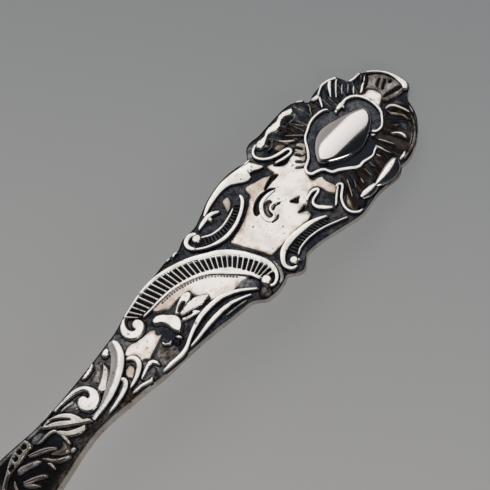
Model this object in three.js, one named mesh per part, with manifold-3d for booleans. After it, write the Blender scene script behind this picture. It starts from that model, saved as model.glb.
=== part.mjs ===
import * as THREE from "three";
import Module from "manifold-3d";

// A silver teaspoon with scrolled relief on its handle. Millimetres and degrees, +Z up.
// It lies on its bowl and on the back of its tip, with the handle towards +X.

// Bowl
const BOWL_LENGTH = 47;
const BOWL_WIDTH = 31.5;
const BOWL_DEPTH = 7.4;
const BOWL_WALL = 0.95;
const BOWL_WIDEST = 19; // from the heel
const SHOULDER_LENGTH = 7; // straight run of the heel into the bowl's outline
const TIP_FULLNESS = 10; // half width where the outline turns into the bowl's tip
const RIM_SAG = 0.7; // how far the rim dips between heel and tip
const BOWL_CURVE = 2.3; // exponent of the bowl's section: 2 is a parabola
const BOWL_FULLNESS = 0.75; // exponent of the depth along the bowl: less is deeper towards the ends
const HEEL_LENGTH = 13; // over which the stem's back thins into the bowl's wall
const WEAR_FLAT = 0.3; // how deep the underside is worn flat

// Handle
const TERMINAL_LENGTH = 36; // from the tip to the joint with the stem
const NECK_START = 86; // from the tip to where the stem turns down
const NECK_LENGTH = 18;
const HEEL_WIDTH = 11.5;
const ROUTE_UNIT = 1; // what one step in the lists of edges and routes measures
const TERMINAL_THICKNESS = 1.6;
const STEM_THICKNESS = 2.3;
const FLANK_LEAN = 0.15; // how much wider the back is on each side
const BACK_ROUNDING = 0.4; // share of the thickness that the back loses at its edges
const TIP_SLOPE = -12.5;
const ARCH_TURN = 16.5; // how much the slope changes along the arched handle
const ARCH_SPAN = 95;
const ARCH_POWER = 2.2;
const RIM_SLOPE = 4;
const TIP_FLAT = 0.45; // how deep the back of the tip is worn flat

// Ornament
const SOLDER_FILM = 0.1; // between the face and each applied piece
const STRAND_LIFT = 0.05; // how much higher strands lie than the bands that they are joined to
const BOSS_HEIGHT = 1.5;
const LINE_HEIGHT = 0.55;
const SCROLL_HEIGHT = 0.8;
const LEAF_HEIGHT = 0.6;
const RUFFLE_HEIGHT = 0.85;
const RIB_SHARE = 0.65; // of a fluted band's height, at the top of a rib
const GROOVE_SHARE = 0.3; // of a fluted band's height, at the bottom of a groove
const FRAME_WIDTH = 0.6;
const LINE_WIDTH = 0.7;
const SCROLL_WIDTH = 0.85;
const BEAD_WIDTH = 1.5;
const STALK_WIDTH = 1;
const LEAF_WIDTH = 1.4;
const CAP_WIDTH = 2.1; // the flower bud's cap
const END_WIDTH = 0.5; // where strands and leaves end

// Facets
const TERMINAL_STEP = 1; // between sections along the terminal
const STEM_STEP = 1.7;
const BOWL_RINGS = 18; // in each half of the bowl
const SECTION_POINTS = 11; // across the face, and as many across the back
const STRAND_STEP = 0.8;
const JOINT_TOLERANCE = 0.01; // slivers that a join may leave are cleared below this

// The handle's edges, as [from the tip, across], with across to the right.
const LEFT_EDGE = [
  [0, -0.9], [0.25, -1.6], [0.95, -3.1], [1.85, -4.2], [2.75, -5.2], [3.65, -5.9], [5.85, -6.2],
  [6.45, -8.1], [7.65, -8.9], [8.95, -9.1], [11.45, -8.9], [12.65, -8.6], [13.55, -9.7], [14.25, -10.3],
  [15.65, -10.7], [18.65, -10.7], [21.65, -10.5], [25.15, -10.2], [26.35, -8.9], [28.15, -9.3],
  [30.65, -9.6], [33.65, -9.3], [35.65, -8.8], [37.65, -8], [39.65, -7.3], [42.65, -7.2], [44.65, -6.5],
  [45.65, -6.7], [49.65, -6.5], [53.65, -6.1], [57.65, -5.5], [59.65, -4.9], [62.65, -4.5], [68.65, -4],
  [72.65, -3.85], [78.65, -3.95], [80.65, -4.2], [83.65, -4.7],
];
const RIGHT_EDGE = [
  [0, 1.1], [0.95, 1.9], [1.85, 2.5], [2.45, 3.3], [2.85, 4.5], [3.45, 5.7], [4.55, 7], [5.65, 8],
  [7.15, 8.9], [8.65, 9.6], [10.95, 10], [11.6, 9.9], [12.45, 10.5], [13.65, 10.7], [15.65, 10.4],
  [17.15, 10.3], [19.15, 10.6], [21.45, 10.9], [23.15, 10.6], [24.65, 10.2], [26.65, 9.7], [28.65, 9.2],
  [30.65, 8.9], [31.95, 9], [32.75, 9.6], [33.65, 10.2], [34.65, 10.3], [35.65, 10], [37.65, 9.7],
  [40.15, 9.6], [41.45, 9.2], [42.05, 8.75], [42.85, 8.2], [44.65, 8], [46.65, 7.7], [48.65, 7.2],
  [50.65, 6.9], [54.65, 6.4], [58.65, 6.1], [60.15, 5.9], [63.15, 5.2], [66.15, 4.7], [69.65, 4.1],
  [72.65, 3.85], [76.65, 4.1], [80.65, 4.6], [83.65, 5],
];

const wasm = await Module();
wasm.setup();

const HEEL = NECK_START + NECK_LENGTH;

function mix(a, b, share) {
  return a + (b - a) * share;
}

function smooth(share) {
  const t = THREE.MathUtils.clamp(share, 0, 1);
  return t * t * (3 - 2 * t);
}

function measured(pairs) {
  return pairs.map(([fromTip, across]) => [fromTip * ROUTE_UNIT, across * ROUTE_UNIT]);
}

// Reads a smooth line through [place, value] pairs.
function reader(pairs) {
  const places = pairs.map(([place]) => place);
  const values = pairs.map(([, value]) => value);
  const line = new THREE.CubicInterpolant(places, values, 1, [0]);
  return (place) => line.evaluate(place)[0];
}

const leftEdge = reader([...measured(LEFT_EDGE), [HEEL, -HEEL_WIDTH / 2]]);
const rightEdge = reader([...measured(RIGHT_EDGE), [HEEL, HEEL_WIDTH / 2]]);

// The bowl's depth and rim along its length, as a share of the length from the heel.
const DEEPEST_SHARE = 0.5;
const rimDip = (share) => RIM_SAG * Math.sin(Math.PI * share);
const bowlDepth = (share) => BOWL_DEPTH * Math.sin(Math.PI * share) ** BOWL_FULLNESS;
const RIM_HEIGHT = BOWL_DEPTH + BOWL_WALL + rimDip(DEEPEST_SHARE) - WEAR_FLAT;

// The handle's face in side view: a gentle arch, then an S-shaped neck that brings the heel down to the rim.
function archSlope(fromTip) {
  return THREE.MathUtils.degToRad(TIP_SLOPE + ARCH_TURN * (fromTip / ARCH_SPAN) ** ARCH_POWER);
}

function faceSlope(fromTip, dip) {
  if (fromTip <= NECK_START) return archSlope(fromTip);
  const share = (fromTip - NECK_START) / NECK_LENGTH;
  const level = mix(archSlope(NECK_START), THREE.MathUtils.degToRad(RIM_SLOPE), share);
  return level + dip * Math.sin(Math.PI * share) ** 2;
}

function walkFace(dip) {
  const steps = 400;
  const step = HEEL / steps;
  const walk = [{ x: 0, z: TERMINAL_THICKNESS * Math.cos(archSlope(0)) - TIP_FLAT, slope: archSlope(0) }];
  for (let i = 1; i <= steps; i++) {
    const middle = faceSlope((i - 0.5) * step, dip);
    const last = walk[i - 1];
    walk.push({
      x: last.x - step * Math.cos(middle),
      z: last.z - step * Math.sin(middle),
      slope: faceSlope(i * step, dip),
    });
  }
  return walk;
}

function settleNeck() {
  let low = -Math.PI / 2;
  let high = Math.PI / 2;
  for (let i = 0; i < 40; i++) {
    const dip = (low + high) / 2;
    if (walkFace(dip).at(-1).z > RIM_HEIGHT) low = dip;
    else high = dip;
  }
  return walkFace((low + high) / 2);
}

const faceWalk = settleNeck();

// A point at a distance from the tip, a distance across, and a height above the face.
function onFace(fromTip, across, height) {
  const place = THREE.MathUtils.clamp(fromTip / HEEL, 0, 1) * (faceWalk.length - 1);
  const i = Math.min(Math.floor(place), faceWalk.length - 2);
  const [a, b] = [faceWalk[i], faceWalk[i + 1]];
  const slope = mix(a.slope, b.slope, place - i);
  const x = mix(a.x, b.x, place - i) - height * Math.sin(slope);
  const z = mix(a.z, b.z, place - i) + height * Math.cos(slope);
  return new THREE.Vector3(x, -across, z);
}

// Skins a row of closed rings, and caps its ends unless the row closes on itself.
function loft(rings, looped = false) {
  const count = rings[0].length;
  const index = [];
  const spans = looped ? rings.length : rings.length - 1;
  for (let i = 0; i < spans; i++) {
    const here = i * count;
    const next = ((i + 1) % rings.length) * count;
    for (let j = 0; j < count; j++) {
      const k = (j + 1) % count;
      index.push(here + j, next + k, here + k, here + j, next + j, next + k);
    }
  }
  if (!looped) {
    const end = (rings.length - 1) * count;
    for (let j = 1; j < count - 1; j++) {
      index.push(0, j, j + 1, end, end + j + 1, end + j);
    }
  }
  const positions = rings.flat().flatMap((point) => point.toArray());
  return solidOf(new Float32Array(positions), new Uint32Array(index));
}

function solidOf(vertProperties, triVerts) {
  const solid = new wasm.Manifold(new wasm.Mesh({ numProp: 3, vertProperties, triVerts }));
  if (solid.volume() > 0) return solid;
  return new wasm.Manifold(new wasm.Mesh({ numProp: 3, vertProperties, triVerts: triVerts.toReversed() }));
}

function joined(...solids) {
  return solids.reduce((whole, solid) => whole.add(solid)).simplify(JOINT_TOLERANCE);
}

const spoon = new THREE.Group();

function addPiece(name, solid, colour = 0xd8d2c8, roughness = 0.2) {
  const { vertProperties, triVerts } = solid.getMesh();
  const geometry = new THREE.BufferGeometry();
  geometry.setAttribute("position", new THREE.BufferAttribute(vertProperties, 3));
  geometry.setIndex(new THREE.BufferAttribute(triVerts, 1));
  geometry.computeVertexNormals();
  const material = new THREE.MeshStandardMaterial({ color: colour, roughness, metalness: 1 });
  const mesh = new THREE.Mesh(geometry, material);
  mesh.name = name;
  spoon.add(mesh);
}

// Handle: a flat face, leaning flanks and a rounded back that is worn flat where it meets the table.
function handleRing(fromTip) {
  const left = leftEdge(fromTip);
  const right = rightEdge(fromTip);
  const blend = smooth((fromTip - TERMINAL_LENGTH / 2) / TERMINAL_LENGTH);
  const thickness = mix(TERMINAL_THICKNESS, STEM_THICKNESS, blend);
  const face = [];
  const back = [];
  for (let j = 0; j < SECTION_POINTS; j++) {
    const share = j / (SECTION_POINTS - 1);
    const drop = thickness * (1 - BACK_ROUNDING * (2 * share - 1) ** 2);
    face.push(onFace(fromTip, mix(left, right, share), 0));
    const under = onFace(fromTip, mix(left - FLANK_LEAN, right + FLANK_LEAN, share), -drop);
    under.z = Math.max(under.z, 0);
    back.push(under);
  }
  return [...face, ...back.reverse()];
}

function handleBlank(start, end, step) {
  const count = Math.ceil((end - start) / step);
  const rings = [];
  for (let i = 0; i <= count; i++) {
    rings.push(handleRing(mix(start, end, i / count)));
  }
  return loft(rings);
}

// Bowl: an egg-shaped outline of two curves, hollowed along and across. It starts as the stem's own section.
function bowlOutline() {
  const half = BOWL_WIDTH / 2;
  const heel = new THREE.Vector2(0, HEEL_WIDTH / 2);
  const widest = new THREE.Vector2(BOWL_WIDEST, half);
  const shoulder = new THREE.CubicBezierCurve(
    heel,
    new THREE.Vector2(SHOULDER_LENGTH, HEEL_WIDTH / 2),
    new THREE.Vector2(SHOULDER_LENGTH, half),
    widest);
  const nose = new THREE.CubicBezierCurve(
    widest,
    new THREE.Vector2(mix(BOWL_WIDEST, BOWL_LENGTH, 0.6), half),
    new THREE.Vector2(BOWL_LENGTH, TIP_FULLNESS),
    new THREE.Vector2(BOWL_LENGTH, 0));
  const places = [];
  for (let i = 1; i <= BOWL_RINGS; i++) {
    places.push(shoulder.getPointAt(i / BOWL_RINGS));
  }
  for (let i = 1; i < BOWL_RINGS; i++) {
    places.push(nose.getPointAt(i / BOWL_RINGS));
  }
  return places;
}

function bowlRing(place, heelPoint) {
  const share = place.x / BOWL_LENGTH;
  const rim = RIM_HEIGHT - rimDip(share);
  const depth = bowlDepth(share);
  const thinning = smooth(place.x / HEEL_LENGTH);
  const inside = [];
  const outside = [];
  for (let j = 0; j < SECTION_POINTS; j++) {
    const q = (2 * j) / (SECTION_POINTS - 1) - 1;
    const steep = (depth * BOWL_CURVE * Math.abs(q) ** (BOWL_CURVE - 1)) / place.y;
    const heelWall = STEM_THICKNESS * (1 - BACK_ROUNDING * q * q);
    const wall = mix(heelWall, BOWL_WALL * Math.hypot(1, steep), thinning);
    const height = rim - depth * (1 - Math.abs(q) ** BOWL_CURVE);
    const x = heelPoint.x - place.x;
    inside.push(new THREE.Vector3(x, -q * place.y, height));
    outside.push(new THREE.Vector3(x, -q * place.y, Math.max(height - wall, 0)));
  }
  return [...inside, ...outside.reverse()];
}

function bowlShell() {
  const heelPoint = onFace(HEEL, 0, 0);
  const rings = bowlOutline().map((place) => bowlRing(place, heelPoint));
  return loft([handleRing(HEEL), ...rings]);
}

addPiece("bowl", bowlShell());
addPiece("stem", handleBlank(TERMINAL_LENGTH, HEEL, STEM_STEP));
addPiece("terminal", handleBlank(0, TERMINAL_LENGTH, TERMINAL_STEP));

// Ornament laid on the face
function routeCurve(route, looped = false) {
  const points = measured(route).map(([fromTip, across]) => new THREE.Vector3(fromTip, across, 0));
  return new THREE.CatmullRomCurve3(points, looped, "centripetal");
}

// A half-round strand along a route. Its width runs through the listed widths from end to end.
function strand(route, widths, height, looped = false) {
  const curve = routeCurve(route, looped);
  const count = Math.ceil(curve.getLength() / STRAND_STEP);
  const widest = Math.max(...widths);
  const rings = [];
  const arch = [0, 0.25, 0.5, 0.75, 1];
  for (let i = 0; i < (looped ? count : count + 1); i++) {
    const centre = curve.getPointAt(i / count);
    const along = curve.getTangentAt(i / count);
    const place = (i / count) * (widths.length - 1);
    const k = Math.min(Math.floor(place), Math.max(widths.length - 2, 0));
    const width = mix(widths[k], widths[k + 1] ?? widths[k], place - k);
    const rise = height * Math.sqrt(width / widest);
    rings.push(arch.map((share) => {
      const offset = (-width / 2) * Math.cos(Math.PI * share);
      const lift = SOLDER_FILM + STRAND_LIFT + rise * Math.sin(Math.PI * share);
      return onFace(centre.x - along.y * offset, centre.y + along.x * offset, lift);
    }));
  }
  return loft(rings, looped);
}

// A fluted band between two routes, with a raised rail along each.
function flutedBand(outer, inner, flutes, height) {
  const outerCurve = routeCurve(outer);
  const innerCurve = routeCurve(inner);
  const rings = [];
  const count = 2 * flutes;
  const across = [0, 0.06, 0.2, 0.8, 0.94, 1];
  for (let i = 0; i <= count; i++) {
    const from = outerCurve.getPointAt(i / count);
    const to = innerCurve.getPointAt(i / count);
    const bed = height * (i % 2 === 0 ? GROOVE_SHARE : RIB_SHARE);
    const lifts = [0, height, bed, bed, height, 0];
    rings.push(across.map((share, j) => {
      const point = from.clone().lerp(to, share);
      return onFace(point.x, point.y, SOLDER_FILM + lifts[j]);
    }));
  }
  return loft(rings);
}

// A domed pad between a left and a right edge, each a list of [from the tip, across].
function pad(left, right, height, rows) {
  const leftSide = reader(measured(left));
  const rightSide = reader(measured(right));
  const start = Math.max(left[0][0], right[0][0]) * ROUTE_UNIT;
  const end = Math.min(left.at(-1)[0], right.at(-1)[0]) * ROUTE_UNIT;
  const widths = [];
  for (let i = 0; i <= rows; i++) {
    const fromTip = mix(start, end, i / rows);
    widths.push(rightSide(fromTip) - leftSide(fromTip));
  }
  const widest = Math.max(...widths);
  const arch = [0, 0.06, 0.25, 0.5, 0.75, 0.94, 1];
  const rings = widths.map((width, i) => {
    const fromTip = mix(start, end, i / rows);
    const rise = height * Math.sqrt(width / widest);
    return arch.map((share) => {
      const lift = SOLDER_FILM + rise * Math.sin(Math.PI * share) ** 0.7;
      return onFace(fromTip, leftSide(fromTip) + width * share, lift);
    });
  });
  return loft(rings);
}

// A round bead is a short strand that swells and closes again.
function bead(fromTip, across, width, height) {
  const half = width / ROUTE_UNIT / 2;
  const route = [[fromTip - half, across], [fromTip, across], [fromTip + half, across]];
  return strand(route, [width / 3, width, width, width / 3], height);
}

// Terminal: the heart-shaped cartouche
addPiece("heart_boss", pad(
  [[7.7, -0.9], [8.15, -1.6], [9.65, -2.4], [11.15, -3.1], [13.15, -3.7], [14.65, -3.9], [16.65, -3.4],
    [18.35, -2.2], [19.4, -0.9]],
  [[7.7, 0.1], [8.15, 0.8], [9.65, 1.7], [11.15, 2.7], [13.15, 3.7], [14.65, 3.9], [16.65, 3.2],
    [18.35, 1.8], [19.4, 0.5]],
  BOSS_HEIGHT, 14), 0xe4dfd8, 0.1);
addPiece("cartouche_frame", strand(
  [[6.35, -1], [6.45, 0.5], [6.85, 1.5], [7.55, 2.3], [8.45, 3.0], [9.3, 3.3], [10.4, 3.5], [11.4, 4.6],
    [12.9, 5.6], [14.2, 5.5], [16.1, 5.1], [17.6, 3.9], [19.1, 2.8], [19.8, 1.7], [21, 0.9], [21.8, 0.4],
    [21.9, -0.4], [21.2, -1], [19.9, -1.7], [18.6, -3.3], [17.4, -4.8], [15.2, -5.8], [13.5, -6],
    [12.2, -5.5], [11.3, -4.5], [9.7, -4.1], [8.7, -4.3], [7.7, -4], [7, -3.4], [6.5, -2.4]],
  [FRAME_WIDTH], LINE_HEIGHT, true));
addPiece("crest_shell", flutedBand(
  [[3.1, -5.1], [2.2, -4.2], [1.4, -3.1], [0.8, -1.9], [0.5, -0.5], [0.5, 0.6], [1.4, 1.5]],
  [[4.9, -3.6], [4.4, -3], [4.2, -2.2], [4.1, -1.4], [4.1, -0.7], [4.2, 0], [4.4, 0.5]],
  7, RUFFLE_HEIGHT));

// Terminal: fluted lobes along both edges
addPiece("left_upper_ruffle", flutedBand(
  [[4.1, -5.4], [5.6, -5.7], [6.9, -7.7], [8, -8.4], [9, -8.6], [10.3, -8.5], [12, -8.2]],
  [[5.6, -4], [6.5, -4.5], [7.6, -4.9], [8.6, -5.2], [9.6, -5.2], [10.6, -5.3], [11.7, -6.3]],
  7, RUFFLE_HEIGHT));
addPiece("left_ear", joined(
  flutedBand(
    [[14.2, -9.5], [15.4, -10.2], [17, -10.3], [18.6, -10.1], [20.2, -10], [21.8, -9.9], [23.6, -9.8]],
    [[13.6, -7], [15, -6.9], [16.5, -6.5], [17.9, -5.8], [19.3, -5.5], [20.6, -6.4], [22.2, -6.9]],
    8, RUFFLE_HEIGHT),
  strand(
    [[22.6, -9.6], [24.2, -9.4], [25.1, -8.7], [25.2, -7.8], [24.5, -6.7], [23.4, -5.9], [22.2, -5.5],
      [21, -5.2], [20.7, -4.8], [21.3, -4.5]],
    [END_WIDTH, LINE_WIDTH, LINE_WIDTH, LINE_WIDTH, END_WIDTH], LINE_HEIGHT)));
addPiece("right_upper_ruffle", flutedBand(
  [[4.3, 2.6], [3.9, 4], [4.1, 5.2], [4.9, 6.5], [6.2, 7.8], [7.9, 8.8], [10.4, 9.4]],
  [[6, 2.5], [6.3, 3.2], [6.9, 3.7], [7.8, 4.1], [8.8, 4.4], [9.8, 4.7], [10.6, 5.4]],
  8, RUFFLE_HEIGHT));
addPiece("right_lower_ruffle", joined(
  flutedBand(
    [[11.5, 9.5], [13.3, 10.1], [15.2, 9.9], [17, 9.8], [18.8, 10], [20.5, 10.3], [21.8, 10.3]],
    [[11.4, 6], [13, 6.4], [14.6, 6.3], [16.2, 6], [17.6, 5.2], [18.8, 4.6], [20.4, 6.5]],
    8, RUFFLE_HEIGHT),
  strand(
    [[20.5, 5], [19.9, 5.3], [20.5, 5.9], [21.5, 6.6], [22.3, 7.5], [22.6, 8.6], [22.4, 9.7],
      [21.5, 10.3]],
    [END_WIDTH, LINE_WIDTH, LINE_WIDTH, LINE_WIDTH, END_WIDTH], LINE_HEIGHT)));

// Terminal: leaves and scrolls below the cartouche
addPiece("splash_leaf", pad(
  [[22.8, -2.6], [24, -3.7], [25.8, -4], [27.2, -2.6], [28.6, -2.5], [30, -2.3], [30.9, -1.6],
    [31.4, -0.6]],
  [[22.8, 1], [24, 1.4], [25.8, 1.3], [27.2, 0.4], [28.6, -0.3], [30, -0.2], [30.9, 0.3], [31.4, 0.3]],
  LEAF_HEIGHT, 12));
addPiece("left_leaf", pad(
  [[26.6, -8.4], [28.6, -9], [30.6, -9.2], [32.6, -9], [34.6, -8.6], [36.2, -8.1], [37.6, -7.5]],
  [[26.6, -6.4], [28.6, -6.5], [30.6, -7.6], [32.6, -8], [34.6, -7.9], [36.2, -7.6], [37.6, -7.2]],
  LEAF_HEIGHT, 10));
addPiece("right_scroll", flutedBand(
  [[25.2, 7.2], [26.6, 6.6], [28.1, 5.9], [29.6, 5.4], [31.1, 5.2], [32.6, 5.3], [34.1, 5.8], [35.2, 6.6],
    [35.9, 7.7], [35.9, 8.6], [35.4, 9.4]],
  [[24.2, 9.4], [25.2, 9], [26.6, 8.4], [28.1, 7.9], [29.6, 7.7], [31.1, 7.7], [32.1, 7.9], [33, 8.2],
    [33.8, 8.5], [34.2, 8.9], [34.3, 9.3]],
  14, SCROLL_HEIGHT));
addPiece("left_scroll", flutedBand(
  [[31.6, -5.5], [31.6, -4.5], [32.3, -3.6], [33.4, -2.9], [34.7, -2.3], [36.2, -1.9], [37.7, -1.7],
    [39, -1.9], [40.4, -2.4], [41.5, -3], [42.5, -3.9], [43.1, -4.8], [43.2, -5.7], [42.7, -6.4]],
  [[33, -5.6], [33.2, -5.2], [33.6, -4.8], [34.2, -4.5], [35, -4.3], [36, -4.1], [37.1, -4], [38.2, -4.1],
    [39.1, -4.3], [40, -4.6], [40.7, -5], [41.2, -5.4], [41.4, -5.8], [41.5, -6.2]],
  17, SCROLL_HEIGHT));

// Stem: the fluted arch, the ribs beside it and the flowers under it
addPiece("fluted_arch", joined(
  flutedBand(
    [[36.9, 7.6], [36.4, 6], [36.6, 4.5], [37.2, 3], [37.9, 1.7], [38.8, 0.3], [39.8, -1], [41.1, -2.3],
      [42.6, -3.4], [44.1, -4.3], [45.6, -5], [47.6, -5.4], [49.6, -5.6], [51.6, -5.7], [53.6, -5.6],
      [55.6, -5.3]],
    [[39.3, 7.2], [39.7, 6.2], [39.9, 5.2], [40.3, 4.2], [40.9, 3.2], [41.7, 2.1], [42.6, 1], [43.6, 0],
      [44.7, -0.9], [45.9, -1.6], [47.2, -2.1], [48.7, -2.5], [50.2, -2.8], [51.8, -2.9], [53.6, -2.9],
      [55.4, -2.8]],
    26, SCROLL_HEIGHT),
  strand(
    [[37.35, 6.6], [36.95, 7.45], [37.45, 8.25], [38.35, 8.6], [39.2, 8.45], [39.7, 7.9]],
    [SCROLL_WIDTH, SCROLL_WIDTH, SCROLL_WIDTH, SCROLL_WIDTH], SCROLL_HEIGHT),
  strand(
    [[55, -4.7], [56.2, -4.8], [57.5, -4.6], [58.6, -4.1], [59.1, -3.2], [58.8, -2.3], [57.9, -1.8]],
    [SCROLL_WIDTH, SCROLL_WIDTH, SCROLL_WIDTH, SCROLL_WIDTH], SCROLL_HEIGHT),
  bead(57.4, -2.6, BEAD_WIDTH, SCROLL_HEIGHT)));
addPiece("border_ribs", joined(
  strand(
    [[41, 7.6], [42, 6.7], [43.2, 5.7], [44.2, 4.9], [45.4, 4.3], [46.7, 3.9], [48.2, 3.7], [49.7, 3.7],
      [51.2, 4], [52.7, 4.5], [54, 5.1], [55.2, 5.5], [56.7, 5.6], [58.2, 5.5], [59.7, 5.2]],
    [END_WIDTH, LINE_WIDTH, LINE_WIDTH, LINE_WIDTH, END_WIDTH], LINE_HEIGHT),
  strand(
    [[42.4, 7.5], [43.2, 6.9], [44.7, 6.3], [46.2, 5.9], [47.7, 5.6], [49.7, 5.4], [51.7, 5.5],
      [53.4, 5.6], [55, 5.5]],
    [END_WIDTH, LINE_WIDTH, LINE_WIDTH, END_WIDTH], LINE_HEIGHT)));
addPiece("flower_bud", joined(
  strand(
    [[52.6, 0.6], [50.6, -0.1], [49, -0.7], [48.3, -0.6]],
    [END_WIDTH, STALK_WIDTH, STALK_WIDTH, END_WIDTH], LEAF_HEIGHT),
  strand(
    [[52.6, 1], [50.6, 1.1], [48.8, 1.4], [47.2, 1.9]],
    [END_WIDTH, LEAF_WIDTH, LEAF_WIDTH, END_WIDTH], LEAF_HEIGHT),
  strand([[52.6, 1.5], [51, 2.1], [49.6, 2.8]], [END_WIDTH, STALK_WIDTH, END_WIDTH], LEAF_HEIGHT),
  strand(
    [[55.2, -1.3], [54.2, -0.5], [53.2, 0.7], [53, 1.9], [53.4, 2.7]],
    [END_WIDTH, LEAF_WIDTH, CAP_WIDTH, LEAF_WIDTH, END_WIDTH], LEAF_HEIGHT)));
addPiece("tulip", joined(
  strand(
    [[60.7, 1.8], [59.9, 2.6], [59.5, 3.3], [59.8, 4.1], [60.8, 4.6], [62, 4.7], [63.2, 4.5], [64.8, 4]],
    [END_WIDTH, LINE_WIDTH, LINE_WIDTH, LINE_WIDTH, END_WIDTH], LINE_HEIGHT),
  strand(
    [[62.2, -0.1], [61.4, 0.3], [60.8, 1], [60.8, 1.8], [61.9, 2.4], [63.2, 2.8], [64.5, 3.1]],
    [END_WIDTH, LINE_WIDTH, LINE_WIDTH, LINE_WIDTH, END_WIDTH], LINE_HEIGHT)));
addPiece("stem_scroll", strand(
  [[61.6, -3.8], [61.3, -3.1], [61.6, -2.2], [62.4, -1.5], [63.5, -0.7], [64.7, 0], [66, 0.7],
    [67.4, 1.5], [69, 2.1], [70.7, 2.4], [72, 2.3], [72.9, 1.9]],
  [END_WIDTH, STALK_WIDTH, STALK_WIDTH, STALK_WIDTH, END_WIDTH], SCROLL_HEIGHT));
addPiece("stem_volute", joined(
  strand(
    [[75.5, -3.3], [73.7, -3.2], [71.7, -3.1], [70.2, -2.8], [69.2, -2.1], [68.6, -1.3], [68.5, -0.4],
      [68.9, 0.4], [69.7, 0.8], [70.6, 0.8], [71.3, 0.3], [71.5, -0.5]],
    [END_WIDTH, SCROLL_WIDTH, SCROLL_WIDTH, SCROLL_WIDTH], SCROLL_HEIGHT),
  bead(70.4, -0.6, BEAD_WIDTH, SCROLL_HEIGHT)));
addPiece("leaf_spray", joined(
  strand(
    [[73.6, 1.4], [73.8, 0.2], [74.4, -1], [75.4, -1.9], [76.8, -2.4]],
    [END_WIDTH, LEAF_WIDTH, LEAF_WIDTH, END_WIDTH], LEAF_HEIGHT),
  strand(
    [[74.2, 2], [75.2, 1.5], [76.2, 0.6], [77, -0.5], [77.8, -1.4], [79.2, -1.8]],
    [END_WIDTH, LEAF_WIDTH, LEAF_WIDTH, END_WIDTH], LEAF_HEIGHT),
  strand(
    [[76.8, 2.3], [78.2, 1.6], [79.4, 0.7], [80.5, -0.4], [81.4, -1.1], [82.4, -1.5]],
    [END_WIDTH, LEAF_WIDTH, LEAF_WIDTH, END_WIDTH], LEAF_HEIGHT),
  strand(
    [[80.2, 2.5], [81.6, 1.5], [82.8, 0.5], [84, -0.4], [85.4, -0.9]],
    [END_WIDTH, LEAF_WIDTH, LEAF_WIDTH, END_WIDTH], LEAF_HEIGHT),
  strand(
    [[73.4, 1.6], [75.6, 1.7], [78, 1.9], [80.4, 2.2], [82.8, 2.4]],
    [END_WIDTH, STALK_WIDTH, STALK_WIDTH, STALK_WIDTH, END_WIDTH], LEAF_HEIGHT)));
addPiece("ladder_strip", strand(
  [[80.6, -3.4], [82.2, -3.5], [83.4, -3.3], [84.6, -2.8], [85.8, -2.1]],
  [END_WIDTH, STALK_WIDTH, STALK_WIDTH, END_WIDTH], LINE_HEIGHT));

// The origin is under the middle of the spoon, on the table.
const box = new THREE.Box3().setFromObject(spoon);
spoon.position.set(-(box.min.x + box.max.x) / 2, 0, -box.min.z);

export default spoon;
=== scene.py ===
# %% [markdown]
# A silver teaspoon, looked at closely: the handle is covered with raised scrolls, flutes and
# leaves, bright on top and black in the hollows between them. The packed solids give its size
# and its place. Each solid is then dressed by a finer surface that stands where the solid is.
# Shapes are worked out in millimetres, and their last step turns them into metres.

# %% Load the packed spoon
import math

import bpy
import numpy as np
from mathutils import Matrix, Vector


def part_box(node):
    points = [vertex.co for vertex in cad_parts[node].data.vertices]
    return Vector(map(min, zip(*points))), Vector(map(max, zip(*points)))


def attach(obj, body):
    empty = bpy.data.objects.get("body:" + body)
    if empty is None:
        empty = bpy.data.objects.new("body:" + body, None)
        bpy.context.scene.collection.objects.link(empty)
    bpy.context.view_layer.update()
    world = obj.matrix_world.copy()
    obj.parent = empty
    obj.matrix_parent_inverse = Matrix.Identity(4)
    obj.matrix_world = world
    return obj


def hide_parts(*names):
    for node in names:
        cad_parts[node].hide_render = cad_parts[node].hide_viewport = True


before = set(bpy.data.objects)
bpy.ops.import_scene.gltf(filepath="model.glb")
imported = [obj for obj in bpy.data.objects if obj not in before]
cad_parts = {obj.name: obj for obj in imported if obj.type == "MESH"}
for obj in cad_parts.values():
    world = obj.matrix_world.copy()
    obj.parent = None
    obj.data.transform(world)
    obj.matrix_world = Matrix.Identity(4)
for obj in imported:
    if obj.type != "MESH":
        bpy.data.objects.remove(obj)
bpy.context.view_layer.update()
MM = 0.001

# %% [markdown]
# The handle is a gentle arch in side view, and its neck then dips to the bowl's rim. All the
# ornament lies on that arched face, so one function turns a place on the face (how far from the
# tip, how far to the right, how high above the face) into a point in space. A bend modifier
# could do it too, but a formula keeps every piece exact and easy to move.

# %% The arched face
TIP_SLOPE, ARCH_TURN, ARCH_SPAN, ARCH_POWER = -12.5, 16.5, 95.0, 2.2
NECK_START, NECK_LENGTH, RIM_SLOPE = 86.0, 18.0, 4.0
TERMINAL_THICKNESS, TIP_FLAT = 1.6, 0.45
HEEL = NECK_START + NECK_LENGTH
TIP_HEIGHT = TERMINAL_THICKNESS * math.cos(math.radians(TIP_SLOPE)) - TIP_FLAT
TIP_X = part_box("terminal")[1].x / MM
RIM_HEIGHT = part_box("bowl")[1].z / MM

walk = np.linspace(0, HEEL, 4001)


def face_slopes(dip):
    """Slope along the face: the arch's power law, then a mix to the rim's slope over the neck,
    where a dip is added that follows a squared sine."""
    share = np.clip((walk - NECK_START) / NECK_LENGTH, 0, 1)
    arch = TIP_SLOPE + ARCH_TURN * (np.minimum(walk, NECK_START) / ARCH_SPAN) ** ARCH_POWER
    return np.radians(arch + (RIM_SLOPE - arch) * share) + dip * np.sin(np.pi * share) ** 2


def run(values):
    """Running sum of a quantity along the face, by the trapezium rule."""
    return np.concatenate([[0], np.cumsum((values[1:] + values[:-1]) / 2 * np.diff(walk))])


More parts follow.
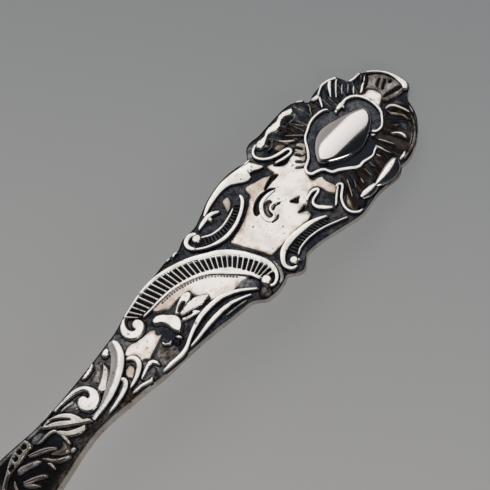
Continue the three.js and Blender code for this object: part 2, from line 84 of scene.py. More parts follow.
# The dip that brings the heel to the rim's height is read off a row of trials.
dips = np.linspace(-1, 1, 801)
heel_heights = [TIP_HEIGHT - run(np.sin(face_slopes(dip)))[-1] for dip in dips]
face_slope = face_slopes(np.interp(-RIM_HEIGHT, -np.array(heel_heights), dips))
face_x = TIP_X - run(np.cos(face_slope))
face_z = TIP_HEIGHT - run(np.sin(face_slope))


def on_face(along, across, height):
    """The face's point at that distance from the tip, moved to the right, then out along the
    face's normal."""
    along, across, height = np.broadcast_arrays(along, across, height)
    slope = np.interp(along, walk, face_slope)
    x = np.interp(along, walk, face_x) - height * np.sin(slope)
    z = np.interp(along, walk, face_z) + height * np.cos(slope)
    return np.stack([x, -across, z], axis=-1) * MM


print("heel at", np.round(on_face(HEEL, 0, 0) / MM, 2), "mm")

# %% [markdown]
# Silver hardly has a colour of its own: it shows what it reflects. What makes this handle so
# readable is dirt, with painted shade added to it. Black oxide fills the hollows, and a brownish
# film is left where a cloth doesn't reach. Each piece carries two numbers at every vertex, soot and
# tan, and the material mixes clean silver, film and oxide from them. Soot also carries painted
# shade. It is painted black on the feet and flanks of raised forms and in some folds. It is raised
# down the stem's right side as painted shade, and lowered along the neck's left edge as a painted
# highlight. A small class lets the shader's sums be written as plain expressions.

# %% Shader sums as expressions


class Tone:
    """A socket in a material's node tree. Operators on it add Math nodes."""

    def __init__(self, tree, socket=None):
        self.tree, self.socket = tree, socket

    def node(self, kind, settings, sockets, out=0):
        """Adds a node of that kind, sets its settings first, then its sockets, and gives one
        of its outputs."""
        node = self.tree.nodes.new(kind)
        for name, value in settings.items():
            setattr(node, name, value)
        for name, value in sockets.items():
            if isinstance(value, Tone):
                self.tree.links.new(value.socket, node.inputs[name])
            else:
                node.inputs[name].default_value = value
        return Tone(self.tree, node.outputs[out])

    def sum(self, operation, first, second, clamp=False):
        settings = {"operation": operation, "use_clamp": clamp}
        return self.node("ShaderNodeMath", settings, {0: first, 1: second})

    def __add__(self, other):
        return self.sum("ADD", self, other)

    def __radd__(self, other):
        return self.sum("ADD", other, self)

    def __sub__(self, other):
        return self.sum("SUBTRACT", self, other)

    def __rsub__(self, other):
        return self.sum("SUBTRACT", other, self)

    def __mul__(self, other):
        return self.sum("MULTIPLY", self, other)

    def __rmul__(self, other):
        return self.sum("MULTIPLY", other, self)

    def clamped(self):
        return self.sum("ADD", self, 0.0, clamp=True)

    def between(self, low, high):
        """0 below low, 1 above high, straight between."""
        return ((self - low) * (1 / (high - low))).clamped()

    def blend(self, first, second):
        """The first colour where this is 0, the second where it is 1."""
        sockets = {0: self, 6: first, 7: second}
        return self.node("ShaderNodeMix", {"data_type": "RGBA"}, sockets, 2)

    def dot(self, place, direction):
        """How far a kind of coordinate goes in that direction."""
        sockets = {0: self.node("ShaderNodeTexCoord", {}, {}, place), 1: direction}
        return self.node("ShaderNodeVectorMath", {"operation": "DOT_PRODUCT"}, sockets, "Value")

    def noise(self, scale, detail, stretch=(1, 1, 1)):
        """Cloudy values about 0.5, with that many clouds to a metre."""
        sockets = {0: self.node("ShaderNodeTexCoord", {}, {}, "Object"), 1: stretch}
        place = self.node("ShaderNodeVectorMath", {"operation": "MULTIPLY"}, sockets)
        sockets = {"Vector": place, "Scale": scale, "Detail": detail}
        return self.node("ShaderNodeTexNoise", {}, sockets)

    def attribute(self, name):
        return self.node("ShaderNodeAttribute", {"attribute_name": name}, {}, "Fac")

    def bump(self, strength, distance):
        sockets = {"Strength": strength, "Distance": distance, "Height": self}
        return self.node("ShaderNodeBump", {}, sockets)


def new_material(name):
    material = bpy.data.materials.new(name)
    material.use_nodes = True
    tree = material.node_tree
    return material, Tone(tree), tree.nodes["Principled BSDF"]


def plug(tone, shader, name):
    tone.tree.links.new(tone.socket, shader.inputs[name])


print("operators:", [name for name in vars(Tone) if name.startswith("__r")])

# %% [markdown]
# Chased silver is the handle's finish: bright and a little scuffed on top, brown where the film
# lies, black in the hollows. Soot runs from 0, clean, to 1, full oxide, and then on to 1.3, which
# is near black. There it is black grime in cuts and grooves, and painted shade on the feet of
# raised forms and in some folds. Tan above 0 is film, or a warmer oxide where soot lies, and below
# 0 it makes the oxide bluish. Noise of three sizes frays every border between them and adds specks
# and pits. Oxide is not a metal, so the metallic value falls with the dirt and the painted shade.

# %% Chased silver
SILVER = (0.92, 0.885, 0.855, 1)
FILM = (0.62, 0.505, 0.42, 1)
COLD_OXIDE = (0.024, 0.031, 0.048, 1)
WARM_OXIDE = (0.034, 0.022, 0.016, 1)
BLUE_OXIDE = (0.046, 0.056, 0.082, 1)
GRIME_AND_SHADE = (0.005, 0.005, 0.005, 1)
DENT_DEPTH = 0.12 * MM

chased, tone, shader = new_material("chased_silver")
soot_and_shade, tan = tone.attribute("soot_and_shade"), tone.attribute("tan")
clouds, grains = tone.noise(420, 4), tone.noise(3600, 3)
smudge = (tone.noise(1300, 2) - 0.5) * 1.1 + (clouds - 0.5) * 1.1 + (grains - 0.5) * 0.9
cover = soot_and_shade.clamped()
half_clean = cover * cover * (1 - cover)
specks = grains.between(0.68, 0.76) * 0.4
veil = clouds.between(0.5, 0.85) * 0.1
pits = tone.noise(1600, 0).between(0.76, 0.84) * 0.5
dirt_and_shade = (cover + smudge * half_clean * 5.5 + specks + veil + pits).clamped()
film = (tan * (clouds * 2.4 - 0.2) + clouds.between(0.46, 0.8) * 0.35).clamped()
oxide = (tan * 1.5 + tone.noise(260, 3)).between(0.46, 0.76).blend(COLD_OXIDE, WARM_OXIDE)
oxide = tan.between(-0.35, 0).blend(BLUE_OXIDE, oxide)
# Soot past 1 turns near black: grime in cuts and slits, and painted shade at the feet of raised
# forms and in some folds.
oxide = (soot_and_shade - 1).between(0, 0.3).blend(oxide, GRIME_AND_SHADE)
plug(dirt_and_shade.blend(film.blend(SILVER, FILM), oxide), shader, "Base Color")
plug((0.16 + dirt_and_shade * 0.16 + (grains - 0.5) * 0.1).clamped(), shader, "Roughness")
plug((1 - dirt_and_shade * 0.7).clamped(), shader, "Metallic")
dents = (tone.noise(1000, 2) - 0.5) * dirt_and_shade * 0.9 + grains * 0.06 + clouds * 0.12
plug(dents.bump(1.0, DENT_DEPTH), shader, "Normal")
shader.inputs["Specular IOR Level"].default_value = 0.15
print(chased.name, "has", len(chased.node_tree.nodes), "nodes")

# %% [markdown]
# Polished silver is for the bowl and the heart-shaped boss. A mirror without a flaw looks like
# plastic, so two sets of noise, stretched along and across the spoon, give it the hair-thin
# scratches of use, and wide patches make it a little warmer and duller here and there.

# %% Polished silver
BRIGHT, DULLED = (0.83, 0.79, 0.765, 1), (0.78, 0.715, 0.65, 1)
SCRATCH_DEPTH = 0.03 * MM

polished, tone, shader = new_material("polished_silver")
lengthways, crossways = tone.noise(700, 2, (0.12, 1, 1)), tone.noise(1500, 2, (1, 0.1, 1))
scratches = lengthways * 0.5 + crossways * 0.5
patches = tone.noise(90, 3)
plug(patches.between(0.5, 0.8).blend(BRIGHT, DULLED), shader, "Base Color")
plug((0.07 + scratches * 0.07 + patches * 0.05).clamped(), shader, "Roughness")
plug(scratches.bump(0.06, SCRATCH_DEPTH), shader, "Normal")
shader.inputs["Metallic"].default_value = 1
FINISHES = {"chased_silver": chased, "polished_silver": polished}
print(polished.name, "has", len(polished.node_tree.nodes), "nodes")

# %% [markdown]
# Every piece of the spoon is a row of rings: a section that is carried along and changes as it
# goes. Rings are skinned with quads, and both ends are closed with a flat cap, so each shape is
# a closed solid. Several such shapes may make up one named piece, as the chaser's many strokes
# make up one ornament.

# %% From rings to a named piece
SHARP_EDGE = math.radians(55)


def skin(rows, points):
    """Faces of rows of closed rings: a quad between neighbours, and one cap at each end."""
    i, j = np.meshgrid(np.arange(rows - 1), np.arange(points), indexing="ij")
    k = (j + 1) % points
    near, far = i * points, (i + 1) * points
    quads = np.stack([near + j, far + j, far + k, near + k], -1)
    caps = np.stack([np.arange(points), (rows * points - 1) - np.arange(points)])
    return quads.reshape(-1, 4), caps


def outward(points, quads):
    """True if the quads wind so that the volume they enclose is positive."""
    a, b, c, d = (points[quads[:, k]] for k in range(4))
    return np.einsum("ij,ij->", a, np.cross(b, c) + np.cross(c, d)) > 0


def make_piece(name, node, shapes, finish="chased_silver"):
    """Joins shapes, each (rings, soot, tan), into one mesh that stands for the node."""
    points, faces, soots_and_shades, tans, start = [], [], [], [], 0
    for rings, soot_and_shade, tan in shapes:
        rows, count = rings.shape[:2]
        flat = rings.reshape(-1, 3)
        quads, caps = skin(rows, count)
        if not outward(flat, quads):
            quads, caps = quads[:, ::-1], caps[:, ::-1]
        points.append(flat)
        faces += (quads + start).tolist() + (caps + start).tolist()
        soots_and_shades.append(np.broadcast_to(soot_and_shade, (rows, count)).ravel())
        tans.append(np.broadcast_to(tan, (rows, count)).ravel())
        start += len(flat)
    mesh = bpy.data.meshes.new(name)
    mesh.from_pydata(np.concatenate(points), [], faces)
    for label, values in (("soot_and_shade", soots_and_shades), ("tan", tans)):
        layer = mesh.attributes.new(label, "FLOAT", "POINT")
        layer.data.foreach_set("value", np.concatenate(values).astype(np.float32))
    mesh.shade_smooth()
    mesh.set_sharp_from_angle(angle=SHARP_EDGE)
    mesh.materials.append(FINISHES[finish])
    piece = bpy.data.objects.new(name, mesh)
    bpy.context.scene.collection.objects.link(piece)
    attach(piece, "root")
    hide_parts(node)
    print(name, len(mesh.vertices), "vertices,", sum(len(p) - 2 for p in faces), "triangles")


print("a tube of 3 rings of 4 points has", len(skin(3, 4)[0]), "quads and 2 caps")

# %% [markdown]
# The chaser draws with lines, so the next helpers do too. A route is a list of places on the
# face, read in pairs (from the tip, to the right) as one smooth line. Blender's curves could
# carry it as well, but with a cubic of our own a whole shape stays a sum of arrays.

# %% Smooth lines
LINE_STEP, FINE_STEPS = 0.16, 24


def step_between(values, low, high):
    """Smooth step from 0 at low to 1 at high."""
    t = np.clip((values - low) / (high - low), 0, 1)
    return t * t * (3 - 2 * t)


def swell(values, rise, full, fade, gone):
    """Smooth step from 0 at rise to 1 at full, and back from 1 at fade to 0 at gone."""
    return step_between(values, rise, full) * step_between(-values, -gone, -fade)


def cubic(u, span, start, end, leaving, arriving):
    """A cubic over one span: its two ends and the slopes there, mixed by powers of u."""
    first = (2 * u**3 - 3 * u**2 + 1) * start + (u**3 - 2 * u**2 + u) * span * leaving
    return first + (3 * u**2 - 2 * u**3) * end + (u**3 - u**2) * span * arriving


def along_route(route, index):
    """Cubic through the route's points with centripetal spacing, at any control index."""
    p = np.reshape(route, (-1, 2)).astype(float)
    t = np.concatenate([[0], np.cumsum(np.hypot(*np.diff(p, axis=0).T) ** 0.5)])
    m = np.gradient(p, t, axis=0)
    k = np.clip(index.astype(int), 0, len(p) - 2)
    span = (t[k + 1] - t[k])[:, None]
    return cubic((index - k)[:, None], span, p[k], p[k + 1], m[k], m[k + 1])


def length_along(line):
    """Length of a line up to each of its points."""
    return np.concatenate([[0], np.cumsum(np.hypot(*np.diff(line, axis=0).T))])


def smooth_line(route, step=LINE_STEP, count=None):
    """The route's cubic at even steps of its length. Gives the points and control indices."""
    last = len(route) // 2 - 1
    fine = np.linspace(0, last, FINE_STEPS * last + 1)
    length = length_along(along_route(route, fine))
    count = count or max(4, math.ceil(length[-1] / step))
    index = np.interp(np.linspace(0, length[-1], count + 1), length, fine)
    return along_route(route, index), index


def closed_line(outline, step=LINE_STEP, count=None):
    """The smooth line round an outline. Its last point is its first."""
    return smooth_line([*outline, *outline[:2]], step, count)[0]


print("a test line has", len(smooth_line([0, 0, 5, 1, 9, 0])[0]), "points")

# %% [markdown]
# A strand is a low bead of metal along a route: a slightly crowned top and two short flanks that go
# down into the ground. The flanks are painted black, oxide with painted shade over it, and the
# top's very edge gets a little painted shade. A leaf is the same between two routes. A round bevel
# on a curve would come close, but here the top's tilt decides what it mirrors, so crown and lean
# are free.

# %% Strands and leaves
FLANK, GROWTH = 0.24, 0.1
FOOT, SUNK = -0.42, -0.2
# Soot painted as shade on a strand: black past full oxide at the foot, nearly black on the
# shoulder, a little on the top's edge. The black value is also used for oxide in cuts, slits and
# grooves.
BLACK_SOOT_AND_SHADE, SHOULDER_SHADE, CROWN_EDGE_SHADE = 1.25, 0.9, 0.2
CROWN_SHARE = np.array([-1, -0.9, -0.7, -0.35, 0, 0.35, 0.7, 0.9, 1])
FLANK_SHARE, FLANK_POWER = np.array([0.25, 0.6, 1]), 1.3


def ribbon(centre, across, half, height, tone=0.0, tan=0.0, crown=0.1, lean=0.0):
    """Rings across a line: the top falls with the square of the way from its ridge, then two
    flanks drop to the foot."""
    half, height = half[:, None], np.broadcast_to(height, half.shape)[:, None]
    top = half * CROWN_SHARE
    side = half + FLANK * FLANK_SHARE
    rise = height - crown * half * (CROWN_SHARE - lean) ** 2
    fall = (1 - FLANK_SHARE) ** FLANK_POWER
    left, right = (FOOT + (rise[:, [k]] - FOOT) * fall for k in (0, -1))
    offset = np.hstack([-side[:, ::-1], top, side])
    lift = np.hstack([left[:, ::-1], rise, right])
    place = centre[:, None] + across[:, None] * offset[..., None]
    # Painted shade: the flanks and shoulders get black soot, and the top's edge a little.
    flank = [BLACK_SOOT_AND_SHADE, BLACK_SOOT_AND_SHADE, SHOULDER_SHADE, max(tone, CROWN_EDGE_SHADE)]
    dark = np.concatenate([flank, np.full(len(CROWN_SHARE) - 2, tone), flank[::-1]])
    return on_face(place[..., 0], place[..., 1], lift), dark, tan


def strand(route, widths, height=0.5, tone=0.0, tan=0.0):
    """A strand along a route. Its widths spread evenly over the route's points, and its ends
    are round."""
    line, index = smooth_line(route)
    spread = index / index[-1] * (len(widths) - 1)
    half = np.interp(spread, np.arange(len(widths)), widths) / 2
    along = np.gradient(line, axis=0)
    along /= np.hypot(*along.T)[:, None]
    gone = length_along(line)
    to_end = np.minimum(gone, gone[-1] - gone)
    full = np.clip(to_end / np.maximum(half, 0.05), 0, 1)
    half = half * np.sqrt(np.clip(1 - (1 - full) ** 2, 0.02, 1))
    across = np.stack([-along[:, 1], along[:, 0]], -1)
    return ribbon(line, across, half, height * (0.8 + 0.2 * full), tone, tan)


def spread_over(values, share):
    """One value, or several spread evenly, at shares from 0 to 1."""
    return np.interp(share, np.linspace(0, 1, np.size(values)), np.atleast_1d(values))


def leaf(left, right, height, crown=0.1, lean=0.0):
    """A leaf between two routes. Its height falls with the root of its width towards narrow
    ends."""
    rows = max(len(smooth_line(side)[0]) for side in (left, right))
    a, b = (smooth_line(side, count=rows)[0] for side in (left, right))
    half = np.hypot(*(b - a).T) / 2
    across = (b - a) / np.maximum(2 * half, 1e-6)[:, None]
    rise = height * (0.7 + 0.3 * np.sqrt(half / half.max()))
    share = np.linspace(0, 1, len(a))[:, None]
    crown, lean = spread_over(crown, share), spread_over(lean, share)
    return ribbon((a + b) / 2, across, half + GROWTH, rise, crown=crown, lean=lean)


print("a test strand has", len(strand([0, 0, 5, 1, 9, 0], [0.5])[0]), "rings")

# %% [markdown]
# Beads sit in the eyes of the scrolls. On the real spoon a round punch makes them. A sphere
# would be quick, but a bead is rather a flat button with a steep rim, so an ellipse is drawn in
# ring by ring and a power law sets how flat its top is.

# %% Beads
MIDDLE = 0.02


def shrunk(line, rings):
    """Copies of a closed line, drawn in towards its middle by the sine of an even turn. Gives
    each copy's share, its points and the middle."""
    share = np.sin(np.linspace(math.pi / 2, MIDDLE, rings))[:, None]
    middle = line.mean(0)
    return share, middle + share[..., None] * (line - middle), middle


def footed(place, lift):
    """Rings in space, with one more below the first, at the foot."""
    place = np.concatenate([place[:1], place])
    lift = np.concatenate([np.full_like(lift[:1], FOOT), lift])
    return on_face(place[..., 0], place[..., 1], lift)


def bead(along, across, radius_along, radius_across, height, tone=0.0, fullness=3.0):
    """An ellipse drawn in to its middle. The height goes with (1 - share ** fullness) ** 0.9."""
    turn = np.linspace(0, 2 * math.pi, 13)[:-1]
    ellipse = [along + radius_along * np.cos(turn), across + radius_across * np.sin(turn)]
    line = closed_line(np.stack(ellipse, -1).ravel(), count=40)[:-1]
    share, place, _ = shrunk(line, 30)
    lift = SUNK + (height - SUNK) * np.clip(1 - share**fullness, 0, 1) ** 0.9
    # Painted shade: the outermost rings, at the bead's foot, go dark.
    dark = np.maximum(tone, step_between(share, 0.93, 1))
    return footed(place, lift), np.concatenate([dark[:1], dark]), 0.0


print("a test bead has", len(bead(0, 0, 1, 1, 0.6)[0]), "rings")

# %% [markdown]
# Fluted bands run through the whole design: a row of short dark grooves between bright ribs.
# They could be cut one by one, but one formula does it. A triangle wave along the band is
# squeezed into steep steps, and a window across the band keeps the grooves off its two edges.
# A ruffle is a softer band, like cloth in folds: there the wave is round and its phase wanders.

# %% Fluted bands and ruffles
ROWS_PER_FLUTE, ROWS_PER_FOLD, TURN = 14, 16, 6.28
FLUTE_EDGE, WINDOW_EDGE = 0.16, 0.07


def band(outer, inner, rows, columns):
    """Shares along and across a band between two routes, and its places. The first and the
    last column come twice, so that they can also go down to the foot."""
    a, index = smooth_line(outer, count=rows)
    b = along_route(inner, index)
    u = np.linspace(0, 1, rows + 1)[:, None]
    v = np.concatenate([[0], np.linspace(0, 1, columns), [1]])[None]
    return u, v, a[:, None] + (b - a)[:, None] * v[..., None]


def fluted(outer, inner, flutes, height, depth, groove, window, tone=0.0):
    """Rings from an outer to an inner route. Height falls by depth where the wave and the
    window are both inside."""
    u, v, place = band(outer, inner, flutes * ROWS_PER_FLUTE, 23)
    wave = np.abs(((u * flutes) % 1) - 0.5) * 2
    low, high = (spread_over(border, u) for border in window)
    inside = step_between(wave, 1 - groove - FLUTE_EDGE, 1 - groove + FLUTE_EDGE)
    inside = inside * swell(v, low, low + WINDOW_EDGE, high - WINDOW_EDGE, high)
    lift = height - depth * inside
    lift[:, [0, -1]] = FOOT
    # Painted shade over the oxide: the grooves and the band's two feet get black soot.
    dark = np.maximum(tone, BLACK_SOOT_AND_SHADE * step_between(inside, 0.15, 0.6))
    dark[:, [0, -1]] = BLACK_SOOT_AND_SHADE
    return on_face(place[..., 0], place[..., 1], lift), dark, 0.0


def ruffle(outer, inner, folds, seed, height=0.22, depth=0.3, tone=0.55, tan=0.25):
    """Rings between two routes, in folds: a wave along the band whose phase wanders, lighter on
    its crests where a second, slower wave lets them shine."""
    u, v, place = band(outer, inner, folds * ROWS_PER_FOLD, 25)
    wander = 0.25 * np.sin(TURN * (1.3 * u + seed)) + 0.16 * np.sin(TURN * (2.9 * u + 1.7 * seed))
    wander = wander + 0.12 * np.sin(TURN * (0.7 * v + 3.1 * u + seed))
    crest = (0.5 + 0.5 * np.cos(TURN * (folds * u + wander))) ** 2
    shine = 0.5 + 0.5 * np.sin(TURN * (0.37 * folds * u + 0.6 * v + 2.3 * seed))
    lift = height + depth * (crest - 0.6) * np.sin(np.pi * np.clip(v, 0.1, 0.95)) ** 0.6
    lift[:, [0, -1]] = FOOT
    dark = 0.97 - (1 - tone) * crest**2 * shine
    return on_face(place[..., 0], place[..., 1], lift), dark, tan * shine


print("a groove takes", ROWS_PER_FLUTE, "rows, a fold", ROWS_PER_FOLD)

# %% [markdown]
# The ground under the ornament is not flat either. Plain plates stand a little proud and are
# rubbed bright, with a brown film where the cloth stops short. They could be pieces of their
# own, but then a seam would show round each. So a plate is only an outline on the face, and the
# blank itself rises inside it.

# %% Plates of the ground
PLATE_HEIGHT, TAN = 0.22, 0.6

# Each row: outline, height, soot, tan, and the two insets between which its soot comes in,
# where that isn't at its edge.
PLATES = [
    ([4.4, -2, 4.2, -1.3, 4.3, -0.7, 4.7, -0.2, 5.3, 0.2, 5.9, 0.6, 6.5, 1.2, 6.6, 0.4, 6.5, -0.6,
        6.5, -1.6, 6.8, -2.8, 6.5, -3.2, 5.8, -2.95, 5, -2.9, 4.7, -2.6], PLATE_HEIGHT, 0, 0.1),
    ([19.2, -5, 18.5, -4.1, 19.2, -3, 20.3, -1.9, 21.4, -0.8, 22.1, 0.4, 22.3, 1.1, 21.4, 2,
        20.85, 3.4, 20.6, 4.8, 21.6, 5.5, 22.3, 4.6, 22.45, 3.4, 22.8, 2.6, 23.6, 2.3, 24.6, 2.65,
        25.3, 3.3, 26.1, 3.65, 26.7, 3.4, 27.5, 3.5, 26.5, 4.3, 26.7, 5.2, 27.6, 5.5, 29.5, 5.3,
        30.6, 5.2, 32.2, 5.3, 33.6, 5.3, 34.7, 5.3, 35.7, 5.1, 36.2, 3.9, 36.7, 2.7, 37.3, 1.4,
        37.8, 0.2, 38.2, -1.1, 37.4, -1.35, 36.3, -1.55, 35.1, -1.85, 34, -2.25, 33.4, -2.55,
        32.65, -2.95, 31.85, -3.4, 31.3, -3.85, 30.5, -4.3, 30.4, -5.1, 30.1, -5.75, 29.3, -5.7,
        28.1, -5.25, 26.9, -4.9, 26, -4.4, 25.3, -4.2, 25.35, -4.9, 25.25, -5.8, 24.4, -5.55,
        23.65, -4.6, 22.9, -3.8, 22.6, -3.8, 21.6, -4.05, 20.7, -4.2, 20.1, -4.6],
        PLATE_HEIGHT, 0, 0.08),
    ([26.1, -4.35, 27, -4.8, 28.2, -5.2, 29.3, -5.6, 30.1, -5.6, 30.4, -4.8, 30.6, -3.8, 31.2, -2.9,
        30.2, -3.25, 29, -3.45, 28, -3.45, 27.2, -3.7], PLATE_HEIGHT, 0, TAN),
    ([20.8, 1.9, 21.6, 1.5, 22.2, 1.7, 22.5, 2.4, 22.3, 3.6, 22.2, 4.6, 21.6, 5.4, 20.8, 4.8,
        20.9, 3.4], PLATE_HEIGHT, 0, 0.6),
    ([18.9, -4.9, 18.4, -3.9, 19.3, -2.9, 20.2, -2.2, 20.8, -2.6, 20.6, -3.6, 19.9, -4.4],
        PLATE_HEIGHT, 0.3, 0.2),
    ([40.3, 4.9, 41, 3.75, 41.8, 2.65, 42.6, 1.55, 43.6, 0.4, 44.8, -0.65, 46.5, -1.7, 48.4, -2.4,
        50.3, -2.85, 52.25, -3, 53.7, -3, 54, -2.4, 52.3, -1.1, 51.2, -0.85, 50.2, -0.85,
        49.6, -0.85, 48.8, -0.7, 48.1, -0.4, 48.1, 0.25, 47.9, 1.05, 47.4, 1.6, 46.75, 2.1,
        46.8, 2.7, 47, 3.15, 45.9, 3.8, 45, 4.2, 44, 4.7, 43.3, 4.8, 42.2, 4.7],
        PLATE_HEIGHT, 0, 0.1),
    ([47.6, -1.7, 49.5, -2.3, 51.9, -2.6, 53.4, -2.5, 52.3, -1.1, 50.4, -0.85, 48.8, -0.85],
        PLATE_HEIGHT, 0, TAN),
    # The next two plates carry a painted dark reflection: their soot deepens from the edge inwards
    # and stands for a plate that turns away from the lamp and mirrors the dim room.
    ([41.3, 4.1, 40.5, 5.2, 39.9, 6.4, 40.6, 7.3, 41.5, 6.75, 42.3, 5.85, 43, 5.1, 42.4, 4.4],
        PLATE_HEIGHT, 0.78, -0.1, 0.0, 0.8),
    ([41.1, 4.8, 40.4, 5.8, 39.9, 6.5, 40.5, 7.2, 41.2, 6.8, 42, 6.1],
        PLATE_HEIGHT, 0.98, -0.4, 0.0, 0.8),
    ([55.2, 1.05, 56, 1.35, 57, 1.7, 58, 2, 59, 2.3, 59.7, 2.5, 60.3, 1.9, 60.8, 1.6, 60.7, 1,
        60.8, 0.4, 61.3, -0.1, 61.8, -0.6, 61.8, -1, 61.2, -1.4, 60.4, -1.6, 59.7, -1.5, 59, -1.15,
        58, -0.95, 57, -0.85, 56.3, -0.7, 55.8, -0.1, 56.2, 0.5, 55.9, 0.9], PLATE_HEIGHT, 0, 0.1),
    ([63.4, 0.7, 62.4, 0.6, 62.1, 1.4, 62.7, 2.2, 63.6, 2.5, 64, 1.5], PLATE_HEIGHT, 0, TAN),
    ([32.75, -6.9, 33, -6, 34, -5.1, 34.8, -5, 34.4, -6.05, 34, -6.95, 33.3, -7.1], 0.1, 0.2, TAN),
]
print(len(PLATES), "plates")

# %% [markdown]
# Between the plates the ground is sunk. Hollows are cut deeper and hold black oxide, or brown where
# the film got in. Patches lie level with the sunk ground and only change its soot. The oxide is
# bluish and thinner in some places, and one patch right of the boss is darker oxide with painted
# shade.

# %% Hollows and patches of the ground
HOLLOW = -0.3

HOLLOWS = [
    ([25.1, -3.4, 25.7, -4, 26.7, -3.85, 27.6, -3.55, 28.3, -3.2, 27.4, -3.25, 26.5, -3.35,
        25.8, -3.35], HOLLOW, 1, 0),
    ([27.1, -2.15, 27.9, -2.45, 28.8, -2.5, 29.7, -2.45, 30.5, -2.2, 31.1, -1.75, 31.8, -1.1,
        32.3, -1.25, 32, -1.95, 31.2, -2.6, 30.4, -2.95, 29.5, -3.1, 28.5, -3, 27.7, -2.75],
        HOLLOW, 1, 0),
    ([30.2, -1.6, 29.3, -1.5, 29.1, -1, 29.9, -0.8, 30.4, -0.4, 30.5, 0.3, 30.7, 0.7, 31.2, 0.5,
        31.15, -0.1, 30.8, -0.85], HOLLOW, 0.72, 0.9),
    ([24.3, -5, 23.3, -4.75, 22.5, -4.05, 23.15, -3.85, 24, -4.55], HOLLOW, 1, 0),
    ([25.7, 1.65, 26.4, 1.35, 27.2, 1.2, 26.9, 1.75, 26.6, 2.25, 26.2, 1.9], HOLLOW, 1, 0),
]
PATCHES = [
    ([25.5, -9.9, 24.6, -10.2, 23.5, -10, 24.2, -9.5, 25.15, -9, 25.5, -8.35, 25.95, -9],
        SUNK, 0.76, -0.15),
    ([8, 2.6, 7.3, 2.1, 6.6, 1, 6.35, -0.5, 6.6, -2.4, 7.8, -4, 9.5, -4.2, 11, -4.3, 12.1, -5.5,
        13.5, -5.9, 15.5, -5.6, 17.5, -4.6, 18.7, -3.2, 20.1, -1.6, 21.3, -0.8, 20, 0.4, 16, 2,
        11, 2.2, 9.5, 2.7], SUNK, 0.93, -0.35),
    ([9.4, -3.6, 8.4, -3.4, 7.5, -2.9, 6.95, -2, 6.8, -0.85, 7.1, 0.3, 7.55, 0.2, 7.45, -0.8,
        8, -1.55, 8.8, -2.3, 9.7, -3], SUNK, 0.88, -0.35),
    # Partly painted shade: this patch, right of the boss on the side away from the lamp, gets more
    # soot than the ground round it.
    ([20.6, 0.4, 19.4, 1.4, 18.4, 2.7, 16.8, 4.2, 15.2, 5, 13.2, 5.3, 11.6, 4.6, 10.8, 3.2,
        12.4, 3.4, 14.8, 3.4, 16.6, 2.9, 18.2, 2, 19.6, 0.9], SUNK, 1.06, -0.1),
    ([57.7, 2.2, 57, 2.1, 56.3, 2.65, 55.7, 4.1, 56.6, 5.2, 58, 5, 58.8, 4.4, 58.5, 3.3],
        SUNK, 0.74, 0.35),
    ([66.8, -3.8, 66.3, -2.8, 66.9, -2, 67.6, -2.5, 67.7, -3.3], SUNK, 0.74, 0.2),
]
AREAS = PLATES + HOLLOWS + PATCHES
print(len(HOLLOWS), "hollows and", len(PATCHES), "patches")

# %% [markdown]
# Slits are thin lines that a graver cut into the plates, and a row of fine dots follows the
# arch. Dots are slits too, each as short as one step of a smooth line.

# %% Slits and dots
DOT_WIDTH = 0.02

# Each row: route, width.
SLITS = [
    ([26.2, 3.3, 26.9, 3.5, 27.6, 3.5], 0.25),
    ([28.5, 0.05, 29.2, -0.15, 29.8, 0.05], 0.22),
    ([30.1, 1.35, 30.6, 1.6, 31.4, 1.45], 0.18),
    ([20.4, -5, 19.8, -4.5, 19.4, -3.65], 0.28),
    ([20.75, -3.7, 20.4, -3.05, 19.7, -2.65], 0.28),
    ([21.55, -2.75, 21.15, -2.2, 20.55, -1.8], 0.26),
    ([22.3, -2, 21.95, -1.65, 21.45, -1.25], 0.22),
]
DOT_ROUTE = [
    41.6, 3.6, 42.4, 2.55, 43.3, 1.35, 44.2, 0.4, 45.4, -0.5, 47, -1.3, 48.6, -1.82, 50.4, -2.2,
    52.2, -2.35,
]
dots = smooth_line(DOT_ROUTE)[0]
SLITS += [([*a, *b], DOT_WIDTH) for a, b in zip(dots[::3], dots[1::3])]
print(len(SLITS), "slits and dots")

# %% [markdown]
# One function gives the ground at any place. The distance to each outline, positive inside,
# gives both the area's rounded edge and how far the soot creeps over it. A painted mask could
# do it too, but a distance stays sharp at any size.

# %% The height and the dirt of the ground
# Ground soot: a little less along the stem, more from the spray down towards the neck, and little
# on the plain neck.
NECK_PLAIN, SPRAY_DARKER, STEM_WORN = (87, 92), (76, 80), (56, 60, 73, 77)
GROUND_SOOT, LESS_WHERE_WORN, MORE_TOWARDS_NECK, NECK_SOOT = 0.945, 0.1, 0.31, 0.07
AREA_EDGE, SLIT_DEPTH = 0.12, 0.3


def distance(s, w, line):
    """Least distance from each place to the line's straight pieces."""
    a, b = line[:-1], line[1:]
    d = b - a
    t = ((s[:, None] - a[:, 0]) * d[:, 0] + (w[:, None] - a[:, 1]) * d[:, 1]) / (d**2).sum(1)
    t = np.clip(t, 0, 1)
    off_s, off_w = s[:, None] - a[:, 0] - t * d[:, 0], w[:, None] - a[:, 1] - t * d[:, 1]
    return np.hypot(off_s, off_w).min(1)


def is_inside(s, w, line):
    """True where a ray to the right crosses the outline an odd number of times."""
    a, b = line[:-1], line[1:]
    between = (a[:, 0] > s[:, None]) != (b[:, 0] > s[:, None])
    share = (s[:, None] - a[:, 0]) / np.where(b[:, 0] == a[:, 0], 1, b[:, 0] - a[:, 0])
    return (between & (w[:, None] < a[:, 1] + share * (b[:, 1] - a[:, 1]))).sum(1) % 2 == 1


def inset(s, w, line):
    """How far each place lies inside a closed line. Negative outside."""
    return distance(s, w, line) * np.where(is_inside(s, w, line), 1, -1)


def near(s, w, line, room):
    """True within the line's box, made larger by the room on each side."""
    low, high = line.min(0) - room, line.max(0) + room
    return (s > low[0]) & (s < high[0]) & (w > low[1]) & (w < high[1])


